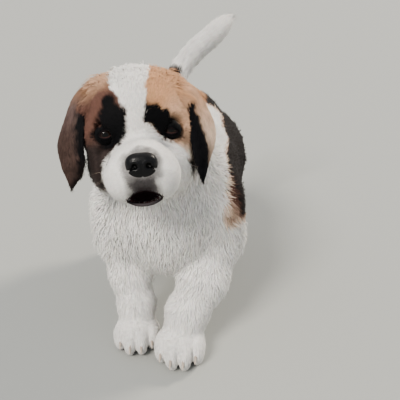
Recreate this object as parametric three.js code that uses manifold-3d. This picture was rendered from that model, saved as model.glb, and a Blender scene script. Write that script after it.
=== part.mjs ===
// A Saint Bernard puppy of about seven weeks, walking, life size. Millimetres, +Z up.
// The puppy faces -Y and its own left side is +X. Shapes are worked out in a pose frame whose
// median plane is X = 0 and whose shoulder joints are at Y = 0, with the floor at Z = 0. At the
// end the whole puppy is moved so that the origin is at the bottom centre of its box.
//
// The body is a field: a distance that is negative inside the coat. It is the smooth union of
// masses (ellipsoids) and limbs (round cones along a chain of joints). Each node is a grid of rays
// cast from a line inside the body to the field's surface, cut flat where it meets the next node.
import * as THREE from 'three';
import { mergeVertices } from 'three/addons/utils/BufferGeometryUtils.js';
import Module from 'manifold-3d';

const wasm = await Module();
wasm.setup();

// Driving dimensions of the body, measured over the coat.
const BACK_HEIGHT = 254;
const BRISKET_HEIGHT = 70; // underside of the chest
const TRUNK_LENGTH = 262; // shoulder joint to root of tail
const CHEST_WIDTH = 160;
const SHOULDER_WIDTH = 184; // over both upper arms
const HIP_WIDTH = 148;
const BEND = 24; // how far the walking trunk bows towards its left side
const FORELEG_RADIUS = 27;
const HINDLEG_RADIUS = 24;
const PAW_WIDTH = 56;
const PAW_LENGTH = 64;
const PAW_HEIGHT = 40;
const TAIL_RADIUS = 17;

// Driving dimensions of the head. Its frame has the point between the eyes at the origin.
const HEAD_WIDTH = 110;
const SKULL_RISE = 64; // from the line of the eyes to the crown
const SKULL_BACK = 92; // from the eyes to the back of the skull
const MUZZLE_WIDTH = 66;
const MUZZLE_LENGTH = 60; // from the eyes to the tip of the nose
const EYE_SPACING = 60.5;
const EYE_RADIUS = 9.5;
const NOSE_WIDTH = 28;
const NOSE_HEIGHT = 23;
const EAR_BULGE = 7; // height of the ear's outer face over its edges
const EAR_THICKNESS = 6.5;
const HEAD_PLACE = [-21, -65, 264];
const HEAD_TURN = 7; // degrees, towards +X
const HEAD_LIFT = 10; // degrees, muzzle up
const HEAD_LEAN = 3; // degrees, crown towards -X

const GAP = 0.3; // between touching nodes
const SINK = 1.5; // how far a blend skirt starts below the surface that it grows from

const v = (x, y, z) => new THREE.Vector3(x, y, z);
const radians = THREE.MathUtils.degToRad;
const mirror = (p) => v(-p.x, p.y, p.z);

// Fields

function ellipsoid(centre, radii) {
  return (p) => {
    const q = p.clone().sub(centre).divide(radii);
    const near = q.length();
    const slope = q.divide(radii).length();
    return slope < 1e-9 ? -Math.min(radii.x, radii.y, radii.z) : (near * (near - 1)) / slope;
  };
}

function roundCone(a, radiusA, b, radiusB) {
  const along = b.clone().sub(a);
  return (p) => {
    const q = p.clone().sub(a);
    const t = THREE.MathUtils.clamp(q.dot(along) / along.lengthSq(), 0, 1);
    return q.addScaledVector(along, -t).length() - THREE.MathUtils.lerp(radiusA, radiusB, t);
  };
}

function softMin(a, b, reach) {
  const share = THREE.MathUtils.clamp(0.5 + (0.5 * (b - a)) / reach, 0, 1);
  return THREE.MathUtils.lerp(b, a, share) - reach * share * (1 - share);
}

const blend = (reach, ...fields) => (p) => fields.map((f) => f(p)).reduce((a, b) => softMin(a, b, reach));
const pair = (reach, field) => (p) => softMin(field(p), field(mirror(p)), reach);
const shrunk = (field, depth) => (p) => field(p) + depth;

// A limb: round cones along joints that are [x, y, z, radius].
function limb(reach, joints) {
  const at = joints.map(([x, y, z]) => v(x, y, z));
  const cones = at.slice(1).map((b, i) => roundCone(at[i], joints[i][3], b, joints[i + 1][3]));
  return blend(reach, ...cones);
}

// Solids

// A closed grid: rings of points round a body, with a single point at each end.
function gridSolid(rings, firstPole, lastPole, columns, alike = false) {
  const points = [firstPole, ...rings.flat(), lastPole];
  const at = (i, j) => 1 + i * columns + ((j + columns) % columns);
  const faces = [];
  for (let j = 0; j < columns; j += 1) {
    faces.push(0, at(0, j + 1), at(0, j));
    faces.push(points.length - 1, at(rings.length - 1, j), at(rings.length - 1, j + 1));
    for (let i = 0; i < rings.length - 1; i += 1) {
      const [a, b, c, d] = [at(i, j), at(i, j + 1), at(i + 1, j + 1), at(i + 1, j)];
      if (alike && j >= columns / 2) faces.push(a, b, d, b, c, d);
      else faces.push(a, b, c, a, c, d);
    }
  }
  const geometry = new THREE.BufferGeometry().setFromPoints(points);
  geometry.setIndex(faces);
  return solidOf(geometry);
}

function solidOf(source) {
  const bare = new THREE.BufferGeometry().setAttribute('position', source.getAttribute('position').clone());
  if (source.index) bare.setIndex(source.index.clone());
  const merged = mergeVertices(bare, 1e-3);
  const corners = Array.from(merged.index.array);
  const kept = [];
  for (let i = 0; i < corners.length; i += 3) {
    const [a, b, c] = corners.slice(i, i + 3);
    if (a !== b && b !== c && c !== a) kept.push(a, b, c);
  }
  const build = (triVerts) =>
    new wasm.Manifold(
      new wasm.Mesh({
        numProp: 3,
        vertProperties: new Float32Array(merged.attributes.position.array),
        triVerts: new Uint32Array(triVerts),
      }),
    );
  const solid = build(kept);
  return solid.volume() >= 0 ? solid : build(kept.reverse());
}

function largest(solid) {
  return solid.decompose().reduce((a, b) => (a.volume() > b.volume() ? a : b));
}

// The distance along a ray from inside the body to the field's surface, or the reach if it is further.
function castRay(field, from, direction, reach) {
  const sample = (t) => field(from.clone().addScaledVector(direction, t));
  let inside = 0;
  let outside = 0;
  let value = sample(0);
  while (value < 0) {
    inside = outside;
    if (outside >= reach) return reach;
    outside = Math.min(reach, outside + Math.max(0.8, -0.8 * value));
    value = sample(outside);
  }
  for (let i = 0; i < 10; i += 1) {
    const middle = (inside + outside) / 2;
    if (sample(middle) < 0) inside = middle;
    else outside = middle;
  }
  return (inside + outside) / 2;
}

// Rays cast from a curve to a field. An end is round, where its rays fan out from the curve's end, or flat.
function cast(field, joints, { rings, sides, reach, first = 'flat', last = 'flat', fan = 5 }) {
  const curve = new THREE.CatmullRomCurve3(joints.map((j) => (j.isVector3 ? j : v(...j.slice(0, 3)))));
  const frameAt = (t) => {
    const ahead = curve.getTangent(t).normalize();
    const side = v(1, 0, 0).addScaledVector(ahead, -ahead.x).normalize();
    return { from: curve.getPoint(t), ahead, side, up: side.clone().cross(ahead) };
  };
  const ringAt = ({ from, ahead, side, up }, lean) =>
    Array.from({ length: sides }, (_, j) => {
      const angle = (2 * Math.PI * j) / sides;
      const around = side.clone().multiplyScalar(Math.cos(angle)).addScaledVector(up, Math.sin(angle));
      const direction = around.multiplyScalar(Math.cos(lean)).addScaledVector(ahead, Math.sin(lean));
      return from.clone().addScaledVector(direction, castRay(field, from, direction, reach));
    });
  const poleAt = (t, way, kind) => {
    const { from, ahead } = frameAt(t);
    if (kind === 'flat') return from;
    const direction = ahead.multiplyScalar(way);
    return from.clone().addScaledVector(direction, castRay(field, from, direction, reach));
  };
  const bodyRings = Array.from({ length: rings }, (_, i) => ringAt(frameAt(i / (rings - 1)), 0));
  const fanRings = (t, way) =>
    Array.from({ length: fan }, (_, i) => ringAt(frameAt(t), (way * (Math.PI / 2) * (i + 1)) / (fan + 1)));
  const all = [
    ...(first === 'round' ? fanRings(0, -1).reverse() : []),
    ...bodyRings,
    ...(last === 'round' ? fanRings(1, 1) : []),
  ];
  return gridSolid(all, poleAt(0, -1, first), poleAt(1, 1, last), sides);
}

// The two sides of a flat cut, with the gap between them. The first is on the normal's side.
function part(solid, point, normal, gap = GAP) {
  const n = normal.clone().normalize();
  const offset = point.dot(n);
  return [
    solid.trimByPlane(n.toArray(), offset + gap / 2),
    solid.trimByPlane(n.clone().negate().toArray(), -offset + gap / 2),
  ];
}

// Trunk

const trunkMiddle = (BACK_HEIGHT + BRISKET_HEIGHT) / 2;
const trunkDepth = (BACK_HEIGHT - BRISKET_HEIGHT) / 2;
const ribs = ellipsoid(
  v(BEND / 2, 0.32 * TRUNK_LENGTH, trunkMiddle + 3),
  v(CHEST_WIDTH / 2, 0.44 * TRUNK_LENGTH, 0.96 * trunkDepth),
);
const breast = ellipsoid(v(0, 6, trunkMiddle - 9), v(0.42 * CHEST_WIDTH, 62, 0.87 * trunkDepth));
const belly = ellipsoid(
  v(BEND, 0.62 * TRUNK_LENGTH, trunkMiddle + 5),
  v(0.5 * CHEST_WIDTH, 0.34 * TRUNK_LENGTH, 0.86 * trunkDepth),
);
const rump = ellipsoid(v(BEND / 2, 0.86 * TRUNK_LENGTH, BACK_HEIGHT - 64), v(0.43 * HIP_WIDTH, 52, 65));
const withers = ellipsoid(v(0, 38, BACK_HEIGHT - 46), v(46, 52, 48));
const upperArm = ellipsoid(v(SHOULDER_WIDTH / 2 - 34, 14, 148), v(34, 42, 56));
const thigh = ellipsoid(v(HIP_WIDTH / 2 - 31, 0.8 * TRUNK_LENGTH, 150), v(33, 50, 56));
const trunk = blend(22, ribs, breast, belly, rump, withers, pair(10, upperArm), pair(10, thigh));

// Limb chains: joints from inside the trunk to the foot, for the left side (+X) and the right.

const forelegJoints = {
  left: [
    [50, 14, 152, 27],
    [57, 6, 116, 1.12 * FORELEG_RADIUS],
    [42, -26, 78, 0.98 * FORELEG_RADIUS],
    [23, -45, 44, 0.88 * FORELEG_RADIUS],
  ],
  right: [
    [-50, 16, 152, 27],
    [-55, 10, 114, 1.04 * FORELEG_RADIUS],
    [-46, -6, 76, 0.84 * FORELEG_RADIUS],
    [-38, -22, 42, 0.78 * FORELEG_RADIUS],
  ],
};
const hindlegJoints = {
  left: [
    [40, 212, 154, 29],
    [49, 198, 114, 1.34 * HINDLEG_RADIUS],
    [49, 248, 72, 0.92 * HINDLEG_RADIUS],
    [47, 258, 40, 0.9 * HINDLEG_RADIUS],
  ],
  right: [
    [-38, 204, 154, 29],
    [-49, 168, 114, 1.34 * HINDLEG_RADIUS],
    [-48, 206, 70, 0.92 * HINDLEG_RADIUS],
    [-46, 208, 40, 0.9 * HINDLEG_RADIUS],
  ],
};

// Paws: the middle of each, and the way it points, in degrees from -Y towards +X.
const paws = {
  forepaw_left: { at: v(16, -59, 18.5), turn: -5, chain: forelegJoints.left, size: 1.03 },
  forepaw_right: { at: v(-37, -36, 17.5), turn: 3, chain: forelegJoints.right, size: 0.95 },
  hindpaw_left: { at: v(48, 242, 16.5), turn: 4, chain: hindlegJoints.left, size: 0.9 },
  hindpaw_right: { at: v(-46, 190, 16.5), turn: -4, chain: hindlegJoints.right, size: 0.9 },
};

const toeSpread = [-0.34, -0.12, 0.12, 0.34]; // across the paw, as a share of its width
const toeReach = [0.2, 0.36, 0.36, 0.2]; // ahead of the paw's middle, as a share of its length

function pawFrame({ at, turn, size }) {
  const place = new THREE.Matrix4().makeRotationZ(radians(turn)).setPosition(at);
  return place.scale(v(size, size, size));
}

// A paw: a low heel and back, and four toes side by side, the middle two ahead.
function pawField(paw) {
  const place = pawFrame(paw);
  const middle = v(0, 0, 0).applyMatrix4(place);
  const radii = (x, y, z) => v(x, y, z).multiplyScalar(paw.size);
  const wrist = paw.chain.at(-1);
  const back = ellipsoid(middle, radii(0.46 * PAW_WIDTH, 0.42 * PAW_LENGTH, 0.5 * PAW_HEIGHT));
  const instep = roundCone(v(...wrist.slice(0, 3)), wrist[3], middle, 0.42 * PAW_HEIGHT);
  const toes = toeSpread.map((across, i) => {
    const centre = v(across * PAW_WIDTH, -toeReach[i] * PAW_LENGTH, -4).applyMatrix4(place);
    return ellipsoid(centre, radii(0.155 * PAW_WIDTH, 0.24 * PAW_LENGTH, 0.37 * PAW_HEIGHT));
  });
  const toeRow = blend(3, ...toes);
  return blend(9, back, instep, toeRow);
}

// Head, in its own frame: X to its left, Y back, Z up

const headPlace = new THREE.Matrix4()
  .makeRotationFromEuler(new THREE.Euler(radians(-HEAD_LIFT), radians(-HEAD_LEAN), radians(HEAD_TURN), 'ZXY'))
  .setPosition(v(...HEAD_PLACE));
const headInverse = headPlace.clone().invert();
const inHead = (field) => (p) => field(p.clone().applyMatrix4(headInverse));
const headPoint = (x, y, z) => v(x, y, z).applyMatrix4(headPlace);

const halfHead = HEAD_WIDTH / 2;
const halfMuzzle = MUZZLE_WIDTH / 2;
const cranium = ellipsoid(v(0, 34, SKULL_RISE - 53), v(halfHead + 1, SKULL_BACK - 34, 53));
const forehead = ellipsoid(v(0, 6, 24), v(36, 25, 27));
const cheek = ellipsoid(v(halfHead - 25, 22, -27), v(24, 36, 35));
const orbit = ellipsoid(v(EYE_SPACING / 2 + 3, 12, 0), v(19, 18, 19));
const brow = ellipsoid(v(0.4 * EYE_SPACING, -2, 14), v(13, 13, 8));
const bridge = ellipsoid(v(0, -0.42 * MUZZLE_LENGTH, -16), v(20, 0.55 * MUZZLE_LENGTH, 13));
const muzzle = ellipsoid(v(0, -0.45 * MUZZLE_LENGTH, -31), v(halfMuzzle, 0.56 * MUZZLE_LENGTH, 23));
const flew = ellipsoid(v(halfMuzzle - 16, -0.62 * MUZZLE_LENGTH, -38), v(16, 19, 19));
const earRoots = [
  roundCone(v(34, 34, 40), 15, v(61, 37, 33), 10.5),
  roundCone(v(-34, 34, 40), 15, v(-54, 35, 31), 10),
];
const earFold = roundCone(v(32, 22, 38), 10, v(50, 14, 29), 7);
const ears = blend(10, ...earRoots, pair(6, earFold));
const skull = blend(12, cranium, pair(8, forehead), pair(8, cheek), pair(6, orbit), pair(6, brow), ears);
const face = blend(12, skull, bridge, muzzle, pair(5, flew));
const neckJoints = [
  [0, 34, 176, 60],
  [-3, 14, 208, 56],
  [-14, -8, 238, 51],
  [-22, -22, 268, 46],
];
const neck = limb(24, neckJoints);
const headAndNeck = blend(20, inHead(face), neck);
const trunkAndNeck = blend(26, shrunk(trunk, SINK), neck, inHead(face));

// Jaw, mouth, nose and eyes

const MOUTH_CORNER = 16;
const MOUTH_HEIGHT = -53; // of its corners, in the head's frame
const jawField = inHead(
  blend(
    6,
    ellipsoid(v(0, -0.5 * MUZZLE_LENGTH, MOUTH_HEIGHT - 1), v(18, 0.4 * MUZZLE_LENGTH, 9)),
    ellipsoid(v(0, 0, MOUTH_HEIGHT + 3), v(30, 26, 12)),
  ),
);

function extrudeInHead(shape, length, from, way) {
  const geometry = new THREE.ExtrudeGeometry(shape, { depth: length, bevelEnabled: false, curveSegments: 12 });
  const ahead = way.clone().normalize();
  const side = v(1, 0, 0).addScaledVector(ahead, -ahead.x).normalize();
  const basis = new THREE.Matrix4().makeBasis(side, ahead.clone().cross(side), ahead).setPosition(from);
  return solidOf(geometry.applyMatrix4(basis).applyMatrix4(headPlace));
}

// The parted lips seen from the front: an arch above and a shallow bow below.
function mouthOpening() {
  const lips = new THREE.Shape();
  lips.moveTo(-MOUTH_CORNER, 0);
  lips.quadraticCurveTo(-MOUTH_CORNER / 2, -5, 0, -5);
  lips.quadraticCurveTo(MOUTH_CORNER / 2, -5, MOUTH_CORNER, 0);
  lips.quadraticCurveTo(MOUTH_CORNER / 2, 9, 0, 9.5);
  lips.quadraticCurveTo(-MOUTH_CORNER / 2, 9, -MOUTH_CORNER, 0);
  return extrudeInHead(lips, 42, v(0, -24, MOUTH_HEIGHT), v(0, -1, 0));
}

const noseCentre = v(0, -MUZZLE_LENGTH + 6, -22);

// The nose leather: a rounded block, wider above than below and flatter in front.
function noseSolid(grow) {
  const geometry = new THREE.SphereGeometry(1, 20, 14);
  const position = geometry.getAttribute('position');
  for (let i = 0; i < position.count; i += 1) {
    const p = v(0, 0, 0).fromBufferAttribute(position, i);
    const square = (value) => Math.sign(value) * Math.abs(value) ** 0.8;
    const taper = 1 + 0.14 * p.z;
    position.setXYZ(
      i,
      square(p.x) * taper * (NOSE_WIDTH / 2 + grow),
      square(p.y) * (9 + grow),
      square(p.z) * (NOSE_HEIGHT / 2 + grow) - 0.8 * p.x * p.x,
    );
  }
  return solidOf(geometry.translate(noseCentre.x, noseCentre.y, noseCentre.z).applyMatrix4(headPlace));
}

// A nostril: a round hole that runs out to the side as a slit.
function nostril(side) {
  const hole = new THREE.SphereGeometry(3.1, 12, 10).scale(1, 1.6, 1.05);
  hole.translate(noseCentre.x + side * 5.6, noseCentre.y - 8.6, noseCentre.z + 0.6);
  const slit = new THREE.SphereGeometry(1, 12, 8).scale(4.6, 6, 1.3);
  slit.rotateY(side * -0.5).translate(noseCentre.x + side * 9.4, noseCentre.y - 7, noseCentre.z - 2.2);
  return solidOf(hole.applyMatrix4(headPlace)).add(solidOf(slit.applyMatrix4(headPlace)));
}

const eyeCentre = (side) => v((side * EYE_SPACING) / 2, -6, 2.8);
const gaze = (side) => v(side * 0.16, -1, 0.02).normalize();

function ball(centre, radius, across = 18) {
  const geometry = new THREE.SphereGeometry(radius, across, Math.round(across * 0.7));
  return solidOf(geometry.translate(centre.x, centre.y, centre.z).applyMatrix4(headPlace));
}

// The gap between the lids: an almond whose outer corner is a little low.
function lidOpening(side) {
  const half = 7.6;
  const almond = new THREE.Shape();
  almond.moveTo(-half, -0.6);
  almond.quadraticCurveTo(0, 9.4, half, -0.6);
  almond.quadraticCurveTo(0, -8.4, -half, -0.6);
  return extrudeInHead(almond, 24, eyeCentre(side), gaze(side));
}

// Ears: a leaf between a front and a rear edge. It grows from the side of the skull, folds over
// and hangs beside the cheek. Each edge runs from the root to the shared tip.

const earEdges = {
  left: {
    front: [
      [27, 20, 40],
      [39, 13, 40],
      [45.5, 9, 30],
      [47, 4, 14],
      [48, 0, -1],
      [51, -2, -19],
      [54.5, -1, -36],
      [60.3, 4, -52.5],
    ],
    rear: [
      [27, 46, 36],
      [47, 51, 42],
      [63, 48, 32],
      [73, 42, 15],
      [78, 36, 0],
      [77, 29, -13],
      [69, 17, -32],
      [60.3, 4, -52.5],
    ],
  },
  right: {
    front: [
      [-27, 20, 40],
      [-40, 13, 41],
      [-47, 9, 31],
      [-50, 5, 15],
      [-52.5, 1, -3],
      [-54, 0, -20],
      [-58, 2, -34],
      [-70.5, 7, -48],
    ],
    rear: [
      [-26, 46, 38],
      [-48, 50, 42],
      [-61, 46, 30],
      [-71, 39, 14],
      [-80, 31, -6],
      [-79, 22, -24],
      [-75, 13, -38],
      [-70.5, 7, -48],
    ],
  },
};

function earSolid(side) {
  const hand = side === 'left' ? 1 : -1;
  const edges = earEdges[side];
  const curveOf = (edge) => new THREE.CatmullRomCurve3(edge.map((p) => v(...p)));
  const [front, rear] = [curveOf(edges.front), curveOf(edges.rear)];
  const half = 8; // facets across one face
  const rows = 16;
  const faceRing = (u) => {
    const [a, b] = [front.getPoint(u), rear.getPoint(u)];
    const down = front.getTangent(u).add(rear.getTangent(u));
    const out = b.clone().sub(a).cross(down).normalize();
    if (out.x * hand < 0) out.negate();
    return Array.from({ length: 2 * half }, (_, j) => {
      const outer = j < half;
      const s = outer ? (j + 0.5) / half : 1 - (j - half + 0.5) / half;
      const crown = 1 - (2 * s - 1) ** 2;
      const thick = (EAR_THICKNESS / 2) * (0.35 + 0.65 * crown) * (1 - 0.4 * u);
      const bulge = EAR_BULGE * crown * Math.min(1, 4 * u, 4 * (1 - u));
      return a
        .clone()
        .lerp(b, s)
        .addScaledVector(out, bulge + (outer ? thick : -thick))
        .applyMatrix4(headPlace);
    });
  };
  const rings = Array.from({ length: rows }, (_, i) => faceRing(0.97 * (i / (rows - 1))));
  const root = front.getPoint(0).lerp(rear.getPoint(0), 0.5).applyMatrix4(headPlace);
  const tip = front.getPoint(1).applyMatrix4(headPlace);
  return gridSolid(rings, root, tip, 2 * half, true);
}

// Tail

const tailJoints = [
  [3, 222, 214, 26],
  [1, 246, 240, TAIL_RADIUS + 2],
  [3, 264, 264, TAIL_RADIUS],
  [25, 290, 293, TAIL_RADIUS],
  [49, 310, 312, TAIL_RADIUS],
  [70, 332, 329, TAIL_RADIUS - 1],
  [84, 346, 341, 9],
];
const tailCurve = new THREE.CatmullRomCurve3(tailJoints.map((joint) => v(...joint.slice(0, 3))), false, 'catmullrom');
const tailPath = Array.from({ length: 16 }, (_, i) => {
  const along = (i / 15) * (tailJoints.length - 1);
  const [before, after] = [tailJoints[Math.floor(along)], tailJoints[Math.ceil(along)]];
  const radius = THREE.MathUtils.lerp(before[3], after[3], along % 1);
  return [...tailCurve.getPoint(i / 15).toArray(), radius];
});
const tail = blend(14, shrunk(trunk, SINK), limb(3, tailPath));

// Claws: short curved cones at the front of each toe

function clawSolid(paw, toe, grow) {
  const place = pawFrame(paw);
  const root = v(toeSpread[toe] * PAW_WIDTH, -(toeReach[toe] + 0.14) * PAW_LENGTH, -1);
  const rows = 3;
  const sides = 6;
  const pointAt = (u, angle) => {
    const radius = (2.6 + grow) * (1 - 0.8 * u);
    const middle = root.clone().add(v(0, -12 * u - grow * (2 * u - 1), -5 * u * u));
    return middle.add(v(radius * 0.75 * Math.cos(angle), 0, radius * Math.sin(angle))).applyMatrix4(place);
  };
  const rings = Array.from({ length: rows }, (_, i) =>
    Array.from({ length: sides }, (_, j) => pointAt(i / (rows - 1), (2 * Math.PI * j) / sides)),
  );
  const first = root.clone().add(v(0, grow, 0)).applyMatrix4(place);
  const last = root.clone().add(v(0, -13 - grow, -5.6)).applyMatrix4(place);
  return gridSolid(rings, first, last, sides);
}

// Materials

const finish = (color, roughness) => new THREE.MeshStandardMaterial({ color, roughness, metalness: 0 });
const finishes = {
  whiteCoat: finish('#e9e2d8', 0.9),
  tanCoat: finish('#a4693f', 0.9),
  darkCoat: finish('#3a2a24', 0.9),
  noseLeather: finish('#17161a', 0.45),
  eye: finish('#20130c', 0.1),
  claw: finish('#5c5048', 0.5),
};

function meshOf(solid, name, material) {
  const { vertProperties, triVerts } = largest(solid).getMesh();
  const geometry = new THREE.BufferGeometry();
  geometry.setAttribute('position', new THREE.BufferAttribute(new Float32Array(vertProperties), 3));
  geometry.setIndex(new THREE.BufferAttribute(new Uint32Array(triVerts), 1));
  geometry.computeVertexNormals();
  const mesh = new THREE.Mesh(geometry, material);
  mesh.name = name;
  return mesh;
}

// Assembly

const puppy = new THREE.Group();
const add = (solid, name, material) => puppy.add(meshOf(solid, name, material));

const trunkLine = [
  v(0, 6, trunkMiddle - 4),
  v(BEND / 2, 0.3 * TRUNK_LENGTH, trunkMiddle),
  v(BEND, 0.62 * TRUNK_LENGTH, trunkMiddle + 5),
  v(BEND / 2, 0.86 * TRUNK_LENGTH, BACK_HEIGHT - 62),
];
const trunkGrid = { rings: 12, sides: 28, reach: 130, first: 'round', last: 'round', fan: 5 };
const bareTrunk = cast(trunk, trunkLine, trunkGrid);
const trunkShell = cast(shrunk(trunk, -GAP), trunkLine, trunkGrid);

// Head and neck, cut where the nape and the throat meet the skull, and where the neck enters the chest.
const headLine = [headPoint(0, 56, 2), headPoint(0, 30, -2), headPoint(0, 0, -12), headPoint(0, -32, -31)];
const headGrid = { rings: 17, sides: 36, reach: 78, first: 'round', last: 'round', fan: 7 };
const neckCut = { at: v(-20, -2, 240), normal: v(-0.08, -0.62, 0.78) };
const chestCut = { at: v(-4, 6, 212), normal: v(-0.1, -0.5, 0.86) };
const skullCast = cast(headAndNeck, headLine, headGrid);
const neckLine = [v(0, 40, 172), v(-3, 14, 208), v(-14, -8, 238), v(-22, -24, 272)];
const neckCast = cast(trunkAndNeck, neckLine, { rings: 14, sides: 30, reach: 78 });
const [aboveChest, inChest] = part(neckCast, chestCut.at, chestCut.normal);
const neckSolid = part(aboveChest, neckCut.at, neckCut.normal)[1].subtract(trunkShell);

const jawLine = [headPoint(0, 0, MOUTH_HEIGHT), headPoint(0, -34, MOUTH_HEIGHT - 1)];
const jawGrid = { rings: 6, sides: 20, reach: 40, first: 'round', last: 'round', fan: 4 };
const jawShell = cast(shrunk(jawField, -GAP), jawLine, jawGrid);
const jawCast = cast(jawField, jawLine, jawGrid);
const mouth = mouthOpening();

let head = part(skullCast, neckCut.at, neckCut.normal)[0].subtract(trunkShell);
for (const side of [-1, 1]) head = head.add(ball(eyeCentre(side), EYE_RADIUS + 2.6, 16));
for (const side of [-1, 1]) {
  head = head.subtract(lidOpening(side));
  head = head.subtract(ball(eyeCentre(side), EYE_RADIUS + GAP));
}
head = head.subtract(noseSolid(GAP)).subtract(jawShell).subtract(mouth);
const nose = noseSolid(0).subtract(nostril(-1)).subtract(nostril(1));
add(head, 'head', finishes.tanCoat);
add(jawCast.subtract(mouth), 'lower_jaw', finishes.whiteCoat);
add(nose, 'nose', finishes.noseLeather);
add(neckSolid, 'neck', finishes.whiteCoat);

const headShell = cast(shrunk(headAndNeck, -GAP), headLine, headGrid);
for (const [side, hand] of [['left', 1], ['right', -1]]) {
  add(ball(eyeCentre(hand), EYE_RADIUS), `eye_${side}`, finishes.eye);
  add(earSolid(side).subtract(headShell), `ear_${side}`, finishes.darkCoat);
}

// Legs: each chain is cast whole, then cut at the elbow or stifle and at the wrist or hock.
let torso = bareTrunk.add(inChest);
const legPlans = [
  { name: 'foreleg_left', chain: forelegJoints.left, paw: 'forepaw_left', cut: 104, ankle: 47 },
  { name: 'foreleg_right', chain: forelegJoints.right, paw: 'forepaw_right', cut: 104, ankle: 45 },
  { name: 'hindleg_left', chain: hindlegJoints.left, paw: 'hindpaw_left', cut: 112, ankle: 44 },
  { name: 'hindleg_right', chain: hindlegJoints.right, paw: 'hindpaw_right', cut: 112, ankle: 44 },
];
const up = v(0, 0, 1);
const pawGrid = { rings: 5, sides: 20, reach: 62, first: 'round', last: 'round', fan: 4 };
for (const { name, chain, paw: pawName, cut, ankle } of legPlans) {
  const paw = paws[pawName];
  const legField = blend(12, limb(16, chain), pawField(paw));
  const rooted = blend(16, legField, shrunk(trunk, SINK));
  const foot = v(...chain.at(-1).slice(0, 3));
  const legCast = cast(rooted, [...chain.slice(0, -1), foot, foot.clone().lerp(paw.at, 0.5)], {
    rings: 12,
    sides: 16,
    reach: 44,
    first: 'round',
    fan: 3,
  });
  const [upper, lower] = part(legCast, v(0, 0, cut), up);
  torso = torso.add(upper);
  const shank = part(lower.subtract(trunkShell), v(0, 0, ankle), up)[0];
  add(shank, name, finishes.whiteCoat);
  const toesAhead = v(0, -0.3 * PAW_LENGTH, -4).applyMatrix4(pawFrame(paw));
  const heel = v(0, 0.12 * PAW_LENGTH, 6).applyMatrix4(pawFrame(paw));
  const pawCast = cast(legField, [heel, toesAhead], pawGrid);
  let pawSolid = part(part(pawCast, v(0, 0, ankle), up)[1], v(0, 0, 0), up, 0)[0];
  for (let toe = 0; toe < toeSpread.length; toe += 1) {
    pawSolid = pawSolid.subtract(clawSolid(paw, toe, GAP));
    add(clawSolid(paw, toe, 0), `claw_${pawName}_${toe + 1}`, finishes.claw);
  }
  add(pawSolid, pawName, finishes.whiteCoat);
}

const tailLine = tailJoints.map(([x, y, z]) => v(x, y, z));
const tailCast = cast(tail, tailLine, { rings: 16, sides: 12, reach: 34, last: 'round', fan: 3 });
const tailAhead = v(0.1, 0.5, 0.84);
const [tailOut, tailIn] = part(tailCast, v(3, 256, 250), tailAhead);
torso = torso.add(tailIn);
const [tailEnd, tailBase] = part(tailOut, v(40, 300, 303), v(0.62, 0.52, 0.46));
add(tailBase, 'tail_base', finishes.whiteCoat);
add(tailEnd, 'tail_end', finishes.whiteCoat);
add(torso, 'torso', finishes.darkCoat);

// The origin goes to the bottom centre of the box.
const box = new THREE.Box3().setFromObject(puppy);
const middle = box.getCenter(v(0, 0, 0));
puppy.position.set(-middle.x, -middle.y, -box.min.z);

export default puppy;
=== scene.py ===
"""Looks of a Saint Bernard puppy of about seven weeks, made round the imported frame.

Forms are worked out in millimetres in the pose frame of the solids: the puppy faces -Y, its left
side is +X, its shoulder joints are at Y = 0 and the floor is Z = 0. to_frame() moves them into the
frame, in metres. One field, negative inside the coat, describes the whole body. The skin is the
field's surface sunk by about a quarter of the hair's length, and the coat is tufts that grow from it.
"""

import math

import bpy
import numpy as np
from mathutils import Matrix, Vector


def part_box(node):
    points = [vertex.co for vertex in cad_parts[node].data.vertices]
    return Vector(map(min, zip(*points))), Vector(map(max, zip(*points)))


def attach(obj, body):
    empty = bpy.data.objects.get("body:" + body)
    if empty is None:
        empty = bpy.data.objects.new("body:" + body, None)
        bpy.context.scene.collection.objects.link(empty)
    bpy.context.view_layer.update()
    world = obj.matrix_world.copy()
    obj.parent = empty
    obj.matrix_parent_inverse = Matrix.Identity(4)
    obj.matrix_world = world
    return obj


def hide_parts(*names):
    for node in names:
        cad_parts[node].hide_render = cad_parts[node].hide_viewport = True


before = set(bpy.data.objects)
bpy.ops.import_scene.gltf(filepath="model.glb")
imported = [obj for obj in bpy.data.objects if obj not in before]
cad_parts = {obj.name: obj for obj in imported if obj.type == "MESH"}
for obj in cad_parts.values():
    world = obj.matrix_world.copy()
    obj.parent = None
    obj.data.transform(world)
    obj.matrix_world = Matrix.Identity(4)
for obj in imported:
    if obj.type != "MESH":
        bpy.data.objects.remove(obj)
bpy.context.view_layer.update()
rng = np.random.default_rng(11)

# Driving dimensions of the body, in millimetres, the same as the solids
BACK_HEIGHT = 254
BRISKET_HEIGHT = 70
TRUNK_LENGTH = 262
CHEST_WIDTH = 160
SHOULDER_WIDTH = 184
HIP_WIDTH = 148
BEND = 24
PAW_WIDTH = 56
PAW_LENGTH = 64
PAW_HEIGHT = 40
TAIL_RADIUS = 17

# Driving dimensions of the head, whose own frame has the point between the eyes at its origin
HEAD_WIDTH = 110
SKULL_RISE = 64
SKULL_BACK = 92
MUZZLE_WIDTH = 66
MUZZLE_LENGTH = 60
EYE_SPACING = 60.5
EYE_RADIUS = 9.5
NOSE_WIDTH = 28
NOSE_HEIGHT = 23
EAR_BULGE = 7
HEAD_PLACE = (-21, -65, 264)
HEAD_TURN, HEAD_LIFT, HEAD_LEAN = 7, 10, 3
NOSE_CENTRE = (0, 6 - MUZZLE_LENGTH, -22)
MOUTH_CORNER = 16
MOUTH_HEIGHT = -53
MOUTH_MIDDLE = MOUTH_HEIGHT + 1.2
MOUTH_ARCH = 2.6  # how far the corners hang below the middle

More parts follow.
